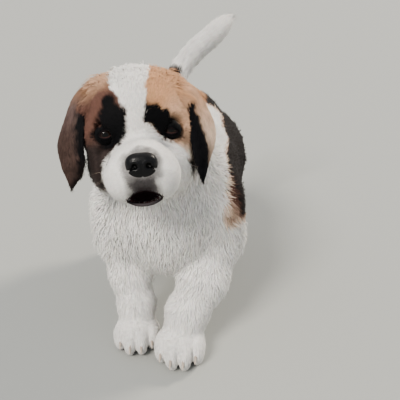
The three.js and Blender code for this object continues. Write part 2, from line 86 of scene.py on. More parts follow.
# The coat and the grids, in millimetres
SKIN_FACET = 1.9
SKIN_SINK = 0.26  # depth of the skin below the coat's outline, as a share of the hair's length
SOCKET_GAP = 0.7  # between an eyeball and the skin
EAR_LEATHER = 3.2
BODY_TUFTS = 214000
EAR_TUFTS = 13500
LID_TUFTS = 4200
TUFTS_IN_A_PIECE = 33000

SIDE_NAMES = {1: "left", -1: "right"}


def linear(sheet):
    """An sRGB hex colour as linear red, green and blue."""
    parts = np.array([int(sheet[i : i + 2], 16) / 255 for i in (1, 3, 5)])
    return np.where(parts <= 0.04045, parts / 12.92, ((parts + 0.055) / 1.055) ** 2.4)


WHITE = linear("#f6f3ee")
CREAM = linear("#e6d2bf")
ORANGE = linear("#cb9870")
SAND = linear("#dcb191")
BROWN = linear("#64463c")
DARK = linear("#1b1514")
BLACK = linear("#08080a")
GREY = linear("#3c3739")
LIP = linear("#241d1f")
PINK = linear("#a86a62")


# Fields: each takes points in rows and gives a distance for each, negative inside


def length_of(rows):
    """Length of each row."""
    return np.sqrt((rows * rows).sum(-1))


def unit(rows):
    """Each row brought to a length of 1."""
    return rows / np.maximum(length_of(rows)[..., None], 1e-9)


def columns(*parts):
    """Arrays and plain numbers side by side as columns, each number repeated down its own."""
    return np.stack(np.broadcast_arrays(*parts), 1)


def ramp(value, width):
    """A straight rise from 0 where value is 0 to 1 where it is width, and level outside."""
    return np.clip(value / width, 0, 1)


def ellipsoid(centre, radii):
    """Near distance to an ellipsoid: its scaled radius k gives k (k - 1) over the length of k's slope."""
    centre, radii = np.array(centre, float), np.array(radii, float)

    def field(p):
        q = (p - centre) / radii
        near = length_of(q)
        return near * (near - 1) / np.maximum(length_of(q / radii), 1e-9)

    return field


def round_cone(a, radius_a, b, radius_b):
    """Distance to the straight line from a to b, less a radius that runs evenly from one to the other."""
    a, along = np.array(a, float), np.array(b, float) - np.array(a, float)

    def field(p):
        q = p - a
        t = np.clip(q @ along / (along @ along), 0, 1)
        return length_of(q - t[..., None] * along) - (radius_a + (radius_b - radius_a) * t)

    return field


def soft_min(a, b, reach):
    """The lesser of two distances, rounded off where they are within reach of each other."""
    share = np.clip(0.5 + 0.5 * (b - a) / reach, 0, 1)
    return b + (a - b) * share - reach * share * (1 - share)


def blend(reach, *fields):
    """The smooth union of fields."""

    def field(p):
        value = fields[0](p)
        for other in fields[1:]:
            value = soft_min(value, other(p), reach)
        return value

    return field


def pair(reach, field):
    """A field and its mirror image across X = 0."""
    mirror = np.array([-1.0, 1.0, 1.0])
    return lambda p: soft_min(field(p), field(p * mirror), reach)


def smooth_curve(joints, count):
    """A Catmull-Rom curve through joints."""
    p = np.array(joints, float)
    p = np.concatenate([2 * p[:1] - p[1:2], p, 2 * p[-1:] - p[-2:-1]])
    t = np.linspace(0, len(joints) - 1, count)
    i = np.minimum(t.astype(int), len(joints) - 2)
    f = (t - i)[:, None]
    a, b, c, d = p[i], p[i + 1], p[i + 2], p[i + 3]
    return b + 0.5 * f * (c - a + f * (2 * a - 5 * b + 4 * c - d + f * (3 * (b - c) + d - a)))


def limb(reach, joints):
    """Round cones along joints that are (x, y, z, radius)."""
    pairs = zip(joints[:-1], joints[1:])
    return blend(reach, *[round_cone(a[:3], a[3], b[:3], b[3]) for a, b in pairs])


# The head's frame


def turn_matrix(axis, degrees):
    """The matrix of a turn about one axis."""
    c, s = math.cos(math.radians(degrees)), math.sin(math.radians(degrees))
    rows = {"X": [[1, 0, 0], [0, c, -s], [0, s, c]], "Y": [[c, 0, s], [0, 1, 0], [-s, 0, c]]}
    rows["Z"] = [[c, -s, 0], [s, c, 0], [0, 0, 1]]
    return np.array(rows[axis])


head_axes = turn_matrix("Z", HEAD_TURN) @ turn_matrix("X", -HEAD_LIFT) @ turn_matrix("Y", -HEAD_LEAN)


def from_head(p):
    """Points of the head's frame in the pose frame."""
    return np.asarray(p, float) @ head_axes.T + HEAD_PLACE


def to_head(p):
    """Points of the pose frame in the head's frame."""
    return (p - HEAD_PLACE) @ head_axes


def in_head(field):
    """A field of the head's frame as one of the pose frame."""
    return lambda p: field(to_head(p))


def eye_centre(side):
    """The middle of the eye on the side of +1 or -1, in the head's frame."""
    return np.array([side * EYE_SPACING / 2, -6.0, 2.8])


eye_low, eye_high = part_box("eye_left")
pose_shift = np.array((eye_low + eye_high) / 2) * 1000 - from_head(eye_centre(1))


def to_frame(p):
    """Millimetres in the pose frame as metres in the frame."""
    return (p + pose_shift) / 1000


# Masses of the body, as in the solids

middle = (BACK_HEIGHT + BRISKET_HEIGHT) / 2
depth = (BACK_HEIGHT - BRISKET_HEIGHT) / 2
trunk = blend(
    22,
    ellipsoid(
        (BEND / 2, 0.32 * TRUNK_LENGTH, middle + 3),
        (CHEST_WIDTH / 2, 0.44 * TRUNK_LENGTH, 0.96 * depth),
    ),
    ellipsoid((0, 6, middle - 9), (0.42 * CHEST_WIDTH, 62, 0.87 * depth)),
    ellipsoid(
        (BEND, 0.62 * TRUNK_LENGTH, middle + 5),
        (0.5 * CHEST_WIDTH, 0.34 * TRUNK_LENGTH, 0.86 * depth),
    ),
    ellipsoid((BEND / 2, 0.86 * TRUNK_LENGTH, BACK_HEIGHT - 64), (0.43 * HIP_WIDTH, 52, 65)),
    ellipsoid((0, 38, BACK_HEIGHT - 46), (46, 52, 48)),
    pair(10, ellipsoid((SHOULDER_WIDTH / 2 - 34, 14, 148), (34, 42, 56))),
    pair(10, ellipsoid((HIP_WIDTH / 2 - 31, 0.8 * TRUNK_LENGTH, 150), (33, 50, 56))),
)

# Each leg: its joints, then its paw's place, turn in degrees and size
legs = {
    "foreleg_left": (
        [(50, 14, 152, 27), (57, 6, 116, 30.2), (42, -26, 78, 26.5), (23, -45, 44, 23.8)],
        ((16, -59, 18.5), -5, 1.03),
    ),
    "foreleg_right": (
        [(-50, 16, 152, 27), (-55, 10, 114, 28.1), (-46, -6, 76, 22.7), (-38, -22, 42, 21.1)],
        ((-37, -36, 17.5), 3, 0.95),
    ),
    "hindleg_left": (
        [(40, 212, 154, 29), (49, 198, 114, 32.2), (49, 248, 72, 22.1), (47, 258, 40, 21.6)],
        ((48, 242, 16.5), 4, 0.9),
    ),
    "hindleg_right": (
        [(-38, 204, 154, 29), (-49, 168, 114, 32.2), (-48, 206, 70, 22.1), (-46, 208, 40, 21.6)],
        ((-46, 190, 16.5), -4, 0.9),
    ),
}
# Where each toe lies: across the paw as a share of its width, and ahead as a share of its length
TOE_SPREAD = (-0.34, -0.12, 0.12, 0.34)
TOE_REACH = (0.2, 0.36, 0.36, 0.2)


def in_paw(paw, p):
    """A point of the paw's own frame, whose toes point to -Y, in the pose frame."""
    at, turn, size = paw
    return np.asarray(p, float) * size @ turn_matrix("Z", turn).T + at


def paw_field(joints, paw):
    """A paw: a low heel and back under the leg's last joint, and four toes side by side."""
    size = paw[2]
    toes = []
    for across, ahead in zip(TOE_SPREAD, TOE_REACH):
        centre = in_paw(paw, (across * PAW_WIDTH, -ahead * PAW_LENGTH, -4))
        radii = np.array([0.155 * PAW_WIDTH, 0.24 * PAW_LENGTH, 0.37 * PAW_HEIGHT]) * size
        toes.append(ellipsoid(centre, radii))
    back = ellipsoid(paw[0], np.array([0.46 * PAW_WIDTH, 0.42 * PAW_LENGTH, 0.5 * PAW_HEIGHT]) * size)
    instep = round_cone(joints[-1][:3], joints[-1][3], paw[0], 0.42 * PAW_HEIGHT)
    return blend(9, back, instep, blend(2.4, *toes))


leg_fields = [blend(12, limb(16, joints), paw_field(joints, paw)) for joints, paw in legs.values()]

half_head, half_muzzle = HEAD_WIDTH / 2, MUZZLE_WIDTH / 2
skull = blend(
    12,
    ellipsoid((0, 34, SKULL_RISE - 53), (half_head + 1, SKULL_BACK - 34, 53)),
    pair(8, ellipsoid((0, 6, 24), (36, 25, 27))),
    pair(8, ellipsoid((half_head - 25, 22, -27), (24, 36, 35))),
    pair(6, ellipsoid((EYE_SPACING / 2 + 3, 12, 0), (19, 18, 19))),
    pair(6, ellipsoid((0.4 * EYE_SPACING, -2, 14), (13, 13, 8))),
    blend(
        10,
        round_cone((34, 34, 40), 15, (60, 37, 29.5), 10),
        round_cone((-34, 34, 40), 15, (-54, 35, 31), 10),
        pair(6, round_cone((32, 22, 38), 10, (50, 14, 29), 7)),
    ),
)
face = blend(
    12,
    skull,
    ellipsoid((0, -0.42 * MUZZLE_LENGTH, -16), (20, 0.55 * MUZZLE_LENGTH, 13)),
    ellipsoid((0, -0.45 * MUZZLE_LENGTH, -31), (half_muzzle, 0.56 * MUZZLE_LENGTH, 23)),
    pair(5, ellipsoid((half_muzzle - 16, -0.62 * MUZZLE_LENGTH, -38), (16, 19, 19))),
)
jaw = blend(
    6,
    ellipsoid((0, -0.5 * MUZZLE_LENGTH, MOUTH_HEIGHT - 1), (18, 0.4 * MUZZLE_LENGTH, 9)),
    ellipsoid((0, 0, MOUTH_HEIGHT + 3), (30, 26, 12)),
)
face_and_jaw = in_head(blend(3, face, jaw))
neck = limb(24, [(0, 34, 176, 60), (-3, 14, 208, 56), (-14, -8, 238, 51), (-22, -22, 268, 46)])
tail_joints = [
    (3, 222, 214, 26),
    (1, 246, 240, TAIL_RADIUS + 2),
    (3, 264, 264, TAIL_RADIUS),
    (25, 290, 293, TAIL_RADIUS),
    (49, 310, 312, TAIL_RADIUS),
    (70, 332, 329, TAIL_RADIUS - 1),
    (84, 346, 341, 9),
]
tail = limb(3, smooth_curve(tail_joints, 16))

REGIONS = ["head", "neck", "trunk", *legs, "tail"]
region_fields = [face_and_jaw, neck, trunk, *leg_fields, tail]


def mouth_gap(h):
    """Distance to the dark opening between the lips, in the head's frame."""
    arch = MOUTH_ARCH * (h[:, 0] / MOUTH_CORNER) ** 2
    arched = columns(h[:, 0], h[:, 1], h[:, 2] + arch)
    return ellipsoid((0, -46, MOUTH_MIDDLE), (MOUTH_CORNER - 0.5, 26, 8))(arched)


def body(p):
    """The whole body out to the tips of the coat, and each region's own distance."""
    each = [field(p) for field in region_fields]
    value = soft_min(soft_min(each[2], each[1], 24), each[0], 18)
    value = soft_min(value, np.min(each[3:7], axis=0), 16)
    return soft_min(value, each[7], 14), np.array(each).T


def shares(each):
    """How far each point belongs to each region."""
    weight = np.exp(-(each - each.min(1, keepdims=True)) / 7)
    return weight / weight.sum(1, keepdims=True)


def coat_length(p, share):
    """Length of the hair in millimetres: shortest on muzzle and toes, longest on neck and tail."""
    h = to_head(p)
    back = np.interp(h[:, 1], [-50, -30, 0, 30, 75], [2.6, 3.4, 5.0, 8.5, 12])
    low_cheek = ramp(h[:, 1] + 4, 25) * ramp(-6 - h[:, 2], 25)
    mound = ramp(np.abs(h[:, 0]) - 30, 12) * ramp(h[:, 2] - 8, 14)
    on_head = back + 4.5 * low_cheek + 1.5 * mound
    for hand in (-1, 1):
        on_head = np.minimum(on_head, 2.0 + 0.32 * np.maximum(length_of(h - eye_centre(hand)) - 11, 0))
    on_neck = np.full(len(p), 16.0)
    on_trunk = np.interp(p[:, 2], [80, 120, 250], [14, 16, 15])
    on_leg = np.interp(p[:, 2], [0, 25, 60, 115], [4.5, 5.5, 9, 14])
    on_tail = np.interp(p[:, 2], [240, 280, 335, 345], [12, 11, 11, 15])
    each = np.stack([on_head, on_neck, on_trunk, *[on_leg] * 4, on_tail], 1)
    return (each * share).sum(1)


def skin_field(p):
    """The skin: the body's field sunk below the coat's outline, with the eye sockets and mouth cut."""
    value, each = body(p)
    value = value + SKIN_SINK * coat_length(p, shares(each))
    h = to_head(p)
    for side in (-1, 1):
        socket = length_of(h - eye_centre(side)) - (EYE_RADIUS + SOCKET_GAP)
        value = -soft_min(-value, socket, 2.5)
    return -soft_min(-value, mouth_gap(h), 1.5)


def gradient(field, p, step=0.6):
    """The slope of a field at each point, from four samples about it; it points outwards."""
    corners = np.array([[1, -1, -1], [-1, -1, 1], [-1, 1, -1], [1, 1, 1]], float)
    return sum(corner * field(p + step * corner)[:, None] for corner in corners) / (4 * step)


# Grids and meshes


def along_line(line, count):
    """Evenly spaced points along joined straight stretches, eased at the bends, and their directions."""
    line = np.array([joint[:3] for joint in line], float)
    far = np.concatenate([[0], np.cumsum(length_of(np.diff(line, axis=0)))])
    at = np.linspace(0, far[-1], count)
    points = np.stack([np.interp(at, far, line[:, k]) for k in range(3)], 1)
    for _ in range(count // 4):
        points[1:-1] = (points[:-2] + 2 * points[1:-1] + points[2:]) / 4
    return points, unit(np.gradient(points, axis=0))


def cast_grid(field, line, rings, sides, reach, fan=8):
    """Rays from a line out to a field's surface, by station along the line and angle round it.

    At both ends the rays fan out from the last station, until they point along the line. Each ray
    steps outwards until the field is positive and then halves its last step.
    """
    points, ahead = along_line(line, rings)
    lean = (math.pi / 2) * np.arange(fan, -1, -1) / (fan + 0.001)
    lean = np.concatenate([-lean[:-1], np.zeros(rings), lean[::-1][1:]])
    station = np.concatenate([np.zeros(fan, int), np.arange(rings), np.full(fan, rings - 1)])
    points, ahead = points[station], ahead[station]
    side = unit(np.array([1.0, 0, 0]) - ahead * ahead[:, :1])
    up = np.cross(side, ahead)
    angle = np.linspace(0, 2 * math.pi, sides, endpoint=False)
    around = side[:, None] * np.cos(angle)[:, None] + up[:, None] * np.sin(angle)[:, None]
    way = around * np.cos(lean)[:, None, None] + ahead[:, None] * np.sin(lean)[:, None, None]
    way = way.reshape(-1, 3)
    start = np.repeat(points, sides, axis=0)
    inner, outer = np.zeros(len(way)), np.zeros(len(way))
    for _ in range(70):
        value = field(start + outer[:, None] * way)
        going = (value < 0) & (outer < reach)
        if not going.any():
            break
        inner = np.where(going, outer, inner)
        outer = np.where(going, np.minimum(reach, outer + np.maximum(1.0, -0.7 * value)), outer)
    for _ in range(8):
        half = (inner + outer) / 2
        inside = field(start + half[:, None] * way) < 0
        inner, outer = np.where(inside, half, inner), np.where(inside, outer, half)
    return (start + outer[:, None] * way).reshape(len(station), sides, 3)


def grid_faces(rings, sides):
    """Quads of a grid whose columns close on themselves."""
    i, j = np.meshgrid(np.arange(rings - 1), np.arange(sides), indexing="ij")
    k = (j + 1) % sides
    corners = [i * sides + j, i * sides + k, (i + 1) * sides + k, (i + 1) * sides + j]
    return np.stack(corners, -1).reshape(-1, 4)


def round_grid(first, last, rows, sides):
    """Two grids, row by row: a value from first to last, and an angle all the way round."""
    around = np.linspace(0, 2 * math.pi, sides, False)
    return np.meshgrid(np.linspace(first, last, rows), around, indexing="ij")


def unit_ball(pole, rows, sides):
    """Points of a ball of radius 1, row by row by their angle from its middle plane, from -pole to pole."""
    rise, turn = round_grid(-pole, pole, rows, sides)
    points = [np.cos(rise) * np.cos(turn), np.cos(rise) * np.sin(turn), np.sin(rise)]
    return np.stack(points, -1).reshape(-1, 3)


def joined(parts):
    """Several (points, faces) as one."""
    points, faces, count = [], [], 0
    for p, f in parts:
        points.append(p.reshape(-1, 3))
        faces.append(f + count)
        count += len(points[-1])
    return np.concatenate(points), np.concatenate(faces)


def make_mesh(name, points, faces, colours=None, uv=None, normals=None):
    """A mesh from points in metres. faces has 3 or 4 corners in a row, uv one pair for each corner."""
    mesh = bpy.data.meshes.new(name)
    corners = faces.shape[1]
    mesh.vertices.add(len(points))
    mesh.vertices.foreach_set("co", points.astype(np.float32).ravel())
    mesh.loops.add(faces.size)
    mesh.loops.foreach_set("vertex_index", faces.astype(np.int32).ravel())
    mesh.polygons.add(len(faces))
    mesh.polygons.foreach_set("loop_start", np.arange(len(faces), dtype=np.int32) * corners)
    mesh.polygons.foreach_set("use_smooth", np.ones(len(faces), bool))
    mesh.update(calc_edges=True)
    if colours is not None:
        layer = mesh.color_attributes.new("coat", "FLOAT_COLOR", "POINT")
        rgba = np.concatenate([np.clip(colours, 0, 1), np.ones((len(colours), 1))], 1)
        layer.data.foreach_set("color", rgba.astype(np.float32).ravel())
    if uv is not None:
        mesh.uv_layers.new(name="OFBake").uv.foreach_set("vector", uv.astype(np.float32).ravel())
    if normals is not None:
        mesh.normals_split_custom_set_from_vertices(normals.astype(np.float32))
    obj = bpy.data.objects.new(name, mesh)
    bpy.context.scene.collection.objects.link(obj)
    return obj


def give(obj, material, slot_name, *nodes):
    """Finishes a piece: its material, its body and the CAD nodes that it stands for."""
    obj.data.materials.append(material)
    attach(obj, "root")
    if nodes:
        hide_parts(*nodes)


# Materials


def add_node(tree, kind, settings=None, links=None):
    """Adds a shader node, sets its properties or sockets by name and links other sockets into it."""
    node = tree.nodes.new(kind)
    for key, value in (settings or {}).items():
        if hasattr(node, key):
            setattr(node, key, value)
        else:
            node.inputs[key].default_value = value
    for key, source in (links or {}).items():
        tree.links.new(source, node.inputs[key])
    return node


def surface(name, settings, colour=None, bump=None):
    """A Principled material. colour and bump are functions that add nodes and return a socket."""
    material = bpy.data.materials.new(name)
    material.use_nodes = True
    tree = material.node_tree
    shader = tree.nodes["Principled BSDF"]
    for key, value in settings.items():
        shader.inputs[key].default_value = value
    if colour:
        tree.links.new(colour(tree), shader.inputs["Base Color"])
    if bump:
        tree.links.new(bump(tree), shader.inputs["Normal"])
    return material


def painted(tree):
    """The colour that each point carries."""
    return add_node(tree, "ShaderNodeAttribute", {"attribute_name": "coat"}).outputs["Color"]


def grain(millimetres, strength, height):
    """A bump of round noise of a real size."""

    def nodes(tree):
        place = add_node(tree, "ShaderNodeTexCoord")
        noise = add_node(
            tree,
            "ShaderNodeTexNoise",
            {"Scale": 1000 / millimetres, "Detail": 3.0},
            {"Vector": place.outputs["Object"]},
        )
        settings = {"Strength": strength, "Distance": height / 1000}
        return add_node(tree, "ShaderNodeBump", settings, {"Height": noise.outputs[0]}).outputs["Normal"]

    return nodes


PEBBLE_SIZE = 0.9  # millimetres across


def pebbles(tree):
    """Bump of the nose leather: small rounded cells with grooves between them."""
    place = add_node(tree, "ShaderNodeTexCoord")
    links = {"Vector": place.outputs["Object"]}
    cells = add_node(tree, "ShaderNodeTexVoronoi", {"Scale": 1000 / PEBBLE_SIZE}, links)
    settings = {"Strength": 0.5, "Distance": 0.0003, "invert": True}
    links = {"Height": cells.outputs["Distance"]}
    return add_node(tree, "ShaderNodeBump", settings, links).outputs["Normal"]


# Skin of a dog under short hair: matt, finely grained, painted with the coat's markings, darkened as
# painted shade under the coat
skin_material = surface(
    "skin",
    {"Roughness": 0.85, "Specular IOR Level": 0.1},
    painted,
    grain(millimetres=1.2, strength=0.6, height=0.5),
)
# Soft puppy fur: each tuft keeps its own colour, with the faint sheen of clean hair
fur_material = surface(
    "fur",
    {"Roughness": 0.66, "Specular IOR Level": 0.07, "Sheen Weight": 0.02, "Sheen Roughness": 0.4},
    painted,
)
# Moist black nose leather
nose_material = surface(
    "nose_leather",
    {"Roughness": 0.36, "Specular IOR Level": 0.12, "Coat Weight": 0.1, "Coat Roughness": 0.12},
    painted,
    pebbles,
)
# Wet eye: a clear cornea over a dark brown iris
eye_material = surface(
    "eye",
    {"Roughness": 0.3, "Coat Weight": 0.24, "Coat Roughness": 0.02, "Specular IOR Level": 0.04},
    painted,
)
# Bare dark skin of lids, lips and pads, nearly matt
rim_material = surface(
    "rim_skin",
    {"Roughness": 0.8, "Specular IOR Level": 0.03},
    painted,
    grain(millimetres=0.7, strength=0.4, height=0.2),
)
# Horn of the claws
claw_material = surface("claw", {"Roughness": 0.4, "Specular IOR Level": 0.5}, painted)


# Markings


def ripple(p, size):
    """A smooth noise between about -1 and 1 whose features are about the given size in millimetres."""
    q = p * (2 * math.pi / size)
    a = np.sin(q[:, 0] + 1.7 * np.sin(0.7 * q[:, 1] + 0.4) + 0.3)
    b = np.sin(q[:, 1] * 1.1 + 1.5 * np.sin(0.8 * q[:, 2]) + 2.1)
    c = np.sin(q[:, 2] * 0.9 + 1.6 * np.sin(0.6 * q[:, 0]) + 4.0)
    return (a + b + c) / 2.2


def spot(h, centre, radii, turn=0.0):
    """How far inside an oval seen from the front each head point lies: 1 in its middle, 0 on its rim."""
    x, z = h[:, 0] - centre[0], h[:, 2] - centre[1]
    c, s = math.cos(math.radians(turn)), math.sin(math.radians(turn))
    return 1 - np.sqrt(((c * x + s * z) / radii[0]) ** 2 + ((-s * x + c * z) / radii[1]) ** 2)


def step(value, width):
    """A soft step from 0 to 1 about zero."""
    return np.clip(value / width + 0.5, 0, 1)[:, None]


def mix(a, b, share):
    """From a to b by a share of 0 to 1."""
    return a * (1 - share) + b * share


# Edges of the white of the face: height above the eyes, then the edge towards -X and towards +X
BLAZE_HEIGHT = [-70, -60, -45, -32, -22, -15, -7, 0, 8, 18, 30, 42, 50, 60, 75, 110]
BLAZE_RIGHT = [-34, -31, -36, -37, -32, -27, -20, -11, -8, -8, -13, -21, -22, -19, -13, -7]
BLAZE_LEFT = [52, 51, 50, 46, 41, 35, 24, 11, 6, 6.5, 8, 10.5, 13, 16, 17, 10]


def head_colour(p):
    """The face: brown on its right, tan on its left, dark cheeks, and over them the patches and the blaze.

    Edges waver by 1.3 mm. A height above the eyes goes on rising over the crown towards the nape.
    """
    h = to_head(p) + 1.3 * columns(ripple(p, 13), ripple(p + 40, 17), ripple(p + 90, 11))
    x, y, z = h.T
    left = step(x, 26)
    height = z + np.clip(y - 32, 0, 60)
    warm = mix(mix(BROWN, ORANGE * 0.8, step(z + 0.4 * y - 48, 22)), ORANGE, left)
    warm = mix(warm, SAND, step(spot(h, (42, 10), (20, 22)), 0.5) * 0.75)
    warm = mix(warm, SAND * 0.9, step(z + 0.6 * y - 46, 20) * (1 - left) * 0.7)
    low = step(-3 - z, 14)
    cheek = mix(linear("#372e2c"), mix(SAND, CREAM * 1.15, step(-14 - z, 14)), left)
    streak = 0.9 + 0.35 * ripple(p * np.array([1.0, 0.35, 0.35]), 9)[:, None]
    colour = mix(warm, cheek * streak, low)
    colour = mix(colour, DARK, step(spot(h, (48, -38), (7, 13), -10), 0.5))
    rear = step(y - 42, 20)
    colour = mix(colour, mix(BROWN, ORANGE * 0.85, left), rear * (1 - low))
    right_edge = np.interp(height, BLAZE_HEIGHT, BLAZE_RIGHT)
    left_edge = np.interp(height, BLAZE_HEIGHT, BLAZE_LEFT)
    white = np.minimum(x - right_edge, left_edge - x)
    beside = np.interp(height, [-24, -15, -7, 0, 8, 16], [44, 39, 32, 22, 12, 6])
    patch = np.maximum(spot(h, (-21, 12), (14.5, 19), 8), spot(h, (-25, 27), (6, 11), -20))
    patch = np.maximum(patch, spot(h, (-29, 2), (14, 11)))
    other = np.maximum(spot(h, (19, 13), (21, 9.5), -40), spot(h, (29, 3), (14.5, 10), -15))
    black = np.maximum(patch, other)
    colour = mix(colour, BLACK, step(black, 0.3) * (y < 22)[:, None])
    beside = np.minimum(np.minimum(x, beside - x), -14 * black)
    colour = mix(colour, WHITE, step(np.maximum(white, beside), 2.5))
    colour = mix(colour, WHITE, step(-61 - z + 0.2 * np.abs(x), 8))
    ahead = step(-40 - y, 6)
    lips = np.minimum(13.5 - np.abs(x), np.minimum(-31 - z, z + 53))
    colour = mix(colour, GREY, step(lips - 0.5, 6) * 0.92 * ahead)
    colour = mix(colour, LIP, step(lips - 5.5, 7) * 0.8 * ahead)
    around_nose = (h - NOSE_CENTRE) / [NOSE_WIDTH / 2, 14, NOSE_HEIGHT / 2]
    around_nose = 3.5 - (length_of(around_nose) - 1) * 12
    colour = mix(colour, GREY * 0.7, step(around_nose, 4) * ahead * 0.75)
    chin = np.minimum(np.minimum(13 - np.abs(x), -52 - z), 61 + z)
    colour = mix(colour, GREY * 0.7, step(chin, 3) * 0.8 * step(-30 - y, 6))
    return colour


def body_colour(p):
    """White, with a dark mantle over back, flanks and thighs that is edged with brown."""
    wave = 11 * ripple(p, 95) + 5 * ripple(p + 55, 34) + 2 * ripple(p + 15, 12)
    x, y, z = p.T
    forward = 22 * ramp(x - 30, 40) * ramp(235 - z, 40)
    shoulder = ramp(x - 52, 14) * ramp(z - 138, 22)
    shoulder = shoulder * ramp(232 - z, 16)
    forward = forward + 44 * shoulder
    front = y - 46 + forward - 126 * ramp(z - 205, 30) + wave
    under = z - 122 + 14 * ramp(90 - y, 60) - 0.08 * (y - 120) + wave
    behind = 262 - y + np.clip(z - 200, -60, 40) * 0.4 + wave
    mantle = np.minimum(np.minimum(front, under), behind)
    colour = mix(WHITE, CREAM, step(mantle + 15, 8))
    colour = mix(colour, mix(SAND, CREAM, 0.4), step(mantle + 5, 8))
    colour = mix(colour, BROWN, step(mantle - 2, 6))
    colour = mix(colour, DARK, step(mantle - 7, 7))
    return colour


def tail_colour(p):
    """White, with a dark spot ahead of the root."""
    q = p - np.array([-2, 250, 266])
    dark = 12 - length_of(q * np.array([1, 0.6, 1.2])) + 2 * ripple(p, 12)
    return mix(WHITE, DARK, step(dark, 5))


def markings(p, share):
    """The colour of skin and coat at points that belong to the regions by the given shares."""
    on_head = np.clip(share[:, :1] * 2.2 - 0.6, 0, 1)
    on_tail = np.clip(share[:, 7:] * 2 - 0.5, 0, 1)
    colour = mix(body_colour(p), head_colour(p), on_head)
    return mix(colour, tail_colour(p), on_tail)


# The lie of the coat


def tail_direction(p):
    """The direction of the nearest stretch of the tail, towards its tip."""
    points, ahead = along_line(tail_joints, 24)
    nearest = ((p[:, None] - points[None]) ** 2).sum(-1).argmin(1)
    return ahead[nearest]


def lie(p, normal, share):
    """Unit directions that the hair runs in, along the skin."""
    h = to_head(p)
    fall = ramp(np.abs(h[:, 0]) - 26, 20) * ramp(20 - h[:, 2], 40)
    on_head = unit(columns(h[:, 0] / 45, 0.75, (h[:, 2] + 20) / 60 - 1.1 * fall))
    root = ramp(np.abs(h[:, 0]) - 30, 12) * ramp(h[:, 2] - 8, 14) * (h[:, 1] > 0)
    on_ear = columns(0.8 * np.sign(h[:, 0]), 0.15, -0.55 - 0.4 * root)
    on_head = mix(on_head, on_ear, root[:, None])
    for hand in (-1, 1):
        away = h - eye_centre(hand)
        near = np.clip(2.2 - length_of(away) / 9, 0, 1)[:, None]
        on_head = mix(on_head, unit(away * np.array([1.0, 0.3, 1.0])), near)
    on_head = on_head @ head_axes.T
    front = ramp(10 - p[:, 1], 50)
    on_neck = columns(0.0, 1 - 0.8 * front, -0.35 - 0.9 * front)
    rump = ramp(p[:, 1] - 225, 50)
    flank = ramp(235 - p[:, 2], 60)
    on_trunk = columns(0.0, 1 - 0.75 * front - 0.5 * rump, -0.35 * flank - 0.9 * front - 0.9 * rump)
    toes = ramp(30 - p[:, 2], 18)
    on_leg = columns(0.0, 0.25 - 1.1 * toes, -1 + 0.45 * toes)
    each = [unit(on_head), unit(on_neck), unit(on_trunk), *[unit(on_leg)] * 4, tail_direction(p)]
    way = (np.stack(each, 1) * share[..., None]).sum(1)
    way = way + 0.28 * columns(ripple(p, 31), ripple(p + 20, 27), ripple(p + 70, 35))
    way = way + rng.normal(0, 0.13, p.shape)
    return unit(way - (way * normal).sum(1, keepdims=True) * normal)


# The skin


def build_skin():
    """One mesh over the whole body: cast grids joined, remeshed as one and settled on the skin's field."""
    head_line = from_head([(0, 56, 2), (0, 30, -2), (0, 0, -12), (0, -32, -29)])
    jaw_line = from_head([(0, 4, MOUTH_HEIGHT - 1), (0, -24, MOUTH_HEIGHT - 4)])
    trunk_line = [
        (0, 6, middle - 4),
        (BEND / 2, 0.3 * TRUNK_LENGTH, middle),
        (BEND, 0.62 * TRUNK_LENGTH, middle + 5),
        (BEND / 2, 0.86 * TRUNK_LENGTH, BACK_HEIGHT - 62),
    ]
    neck_line = [(0, 30, 180), (-3, 14, 208), (-14, -8, 238), (-21, -16, 256)]
    grids = [
        cast_grid(skin_field, head_line, 44, 72, 80, 14),
        cast_grid(skin_field, jaw_line, 14, 36, 30),
        cast_grid(skin_field, trunk_line, 40, 60, 130, 14),
        cast_grid(skin_field, neck_line, 20, 48, 78),
        cast_grid(skin_field, tail_joints, 44, 28, 30),
    ]
    for joints, paw in legs.values():
        foot = np.array(joints[-1][:3], float)
        line = [*joints[:-1], foot, foot * 0.4 + np.array(paw[0]) * 0.6]
        grids.append(cast_grid(skin_field, line, 40, 36, 46))
        grids.append(cast_grid(skin_field, [foot, paw[0], in_paw(paw, (0, -18, -3))], 14, 44, 46, 12))
    points, faces = joined([(g, grid_faces(*g.shape[:2])) for g in grids])
    rough = make_mesh("skin", points / 1000, faces)
    remesh = rough.modifiers.new("join", "REMESH")
    remesh.mode = "VOXEL"
    remesh.voxel_size = SKIN_FACET / 1000
    evaluated = rough.evaluated_get(bpy.context.evaluated_depsgraph_get()).to_mesh()
    points = np.empty(len(evaluated.vertices) * 3, np.float32)
    evaluated.vertices.foreach_get("co", points)
    faces = np.empty(len(evaluated.loops), np.int32)
    evaluated.loops.foreach_get("vertex_index", faces)
    bpy.data.objects.remove(rough)
    points = points.reshape(-1, 3).astype(float) * 1000
    for _ in range(3):
        slope = gradient(skin_field, points)
        far = skin_field(points) / np.maximum((slope * slope).sum(1), 0.2)
        points = points - np.clip(far, -2.5, 2.5)[:, None] * slope
        points[:, 2] = np.maximum(points[:, 2], 0.4)
    return points, faces.reshape(-1, 4), unit(gradient(skin_field, points))


skin_points, skin_faces, skin_normals = build_skin()
skin_share = shares(body(skin_points)[1])
skin_length = coat_length(skin_points, skin_share)


# Coat: tufts that grow from a surface


def scatter(points, faces, wanted, count):
    """Random places on a mesh, more where wanted is greater. Returns a function that gives values there."""
    triangles = np.concatenate([faces[:, [0, 1, 2]], faces[:, [0, 2, 3]]])
    a, b, c = points[triangles].transpose(1, 0, 2)
    chance = np.cumsum(length_of(np.cross(b - a, c - a)) * wanted[triangles].mean(1))
    pick = triangles[np.searchsorted(chance, rng.random(count) * chance[-1])]
    u, v = rng.random((2, count))
    u, v = np.where(u + v > 1, (1 - u, 1 - v), (u, v))
    weight = np.stack([1 - u - v, u, v], 1)[..., None]
    return lambda values: (values[pick] * weight).sum(1)


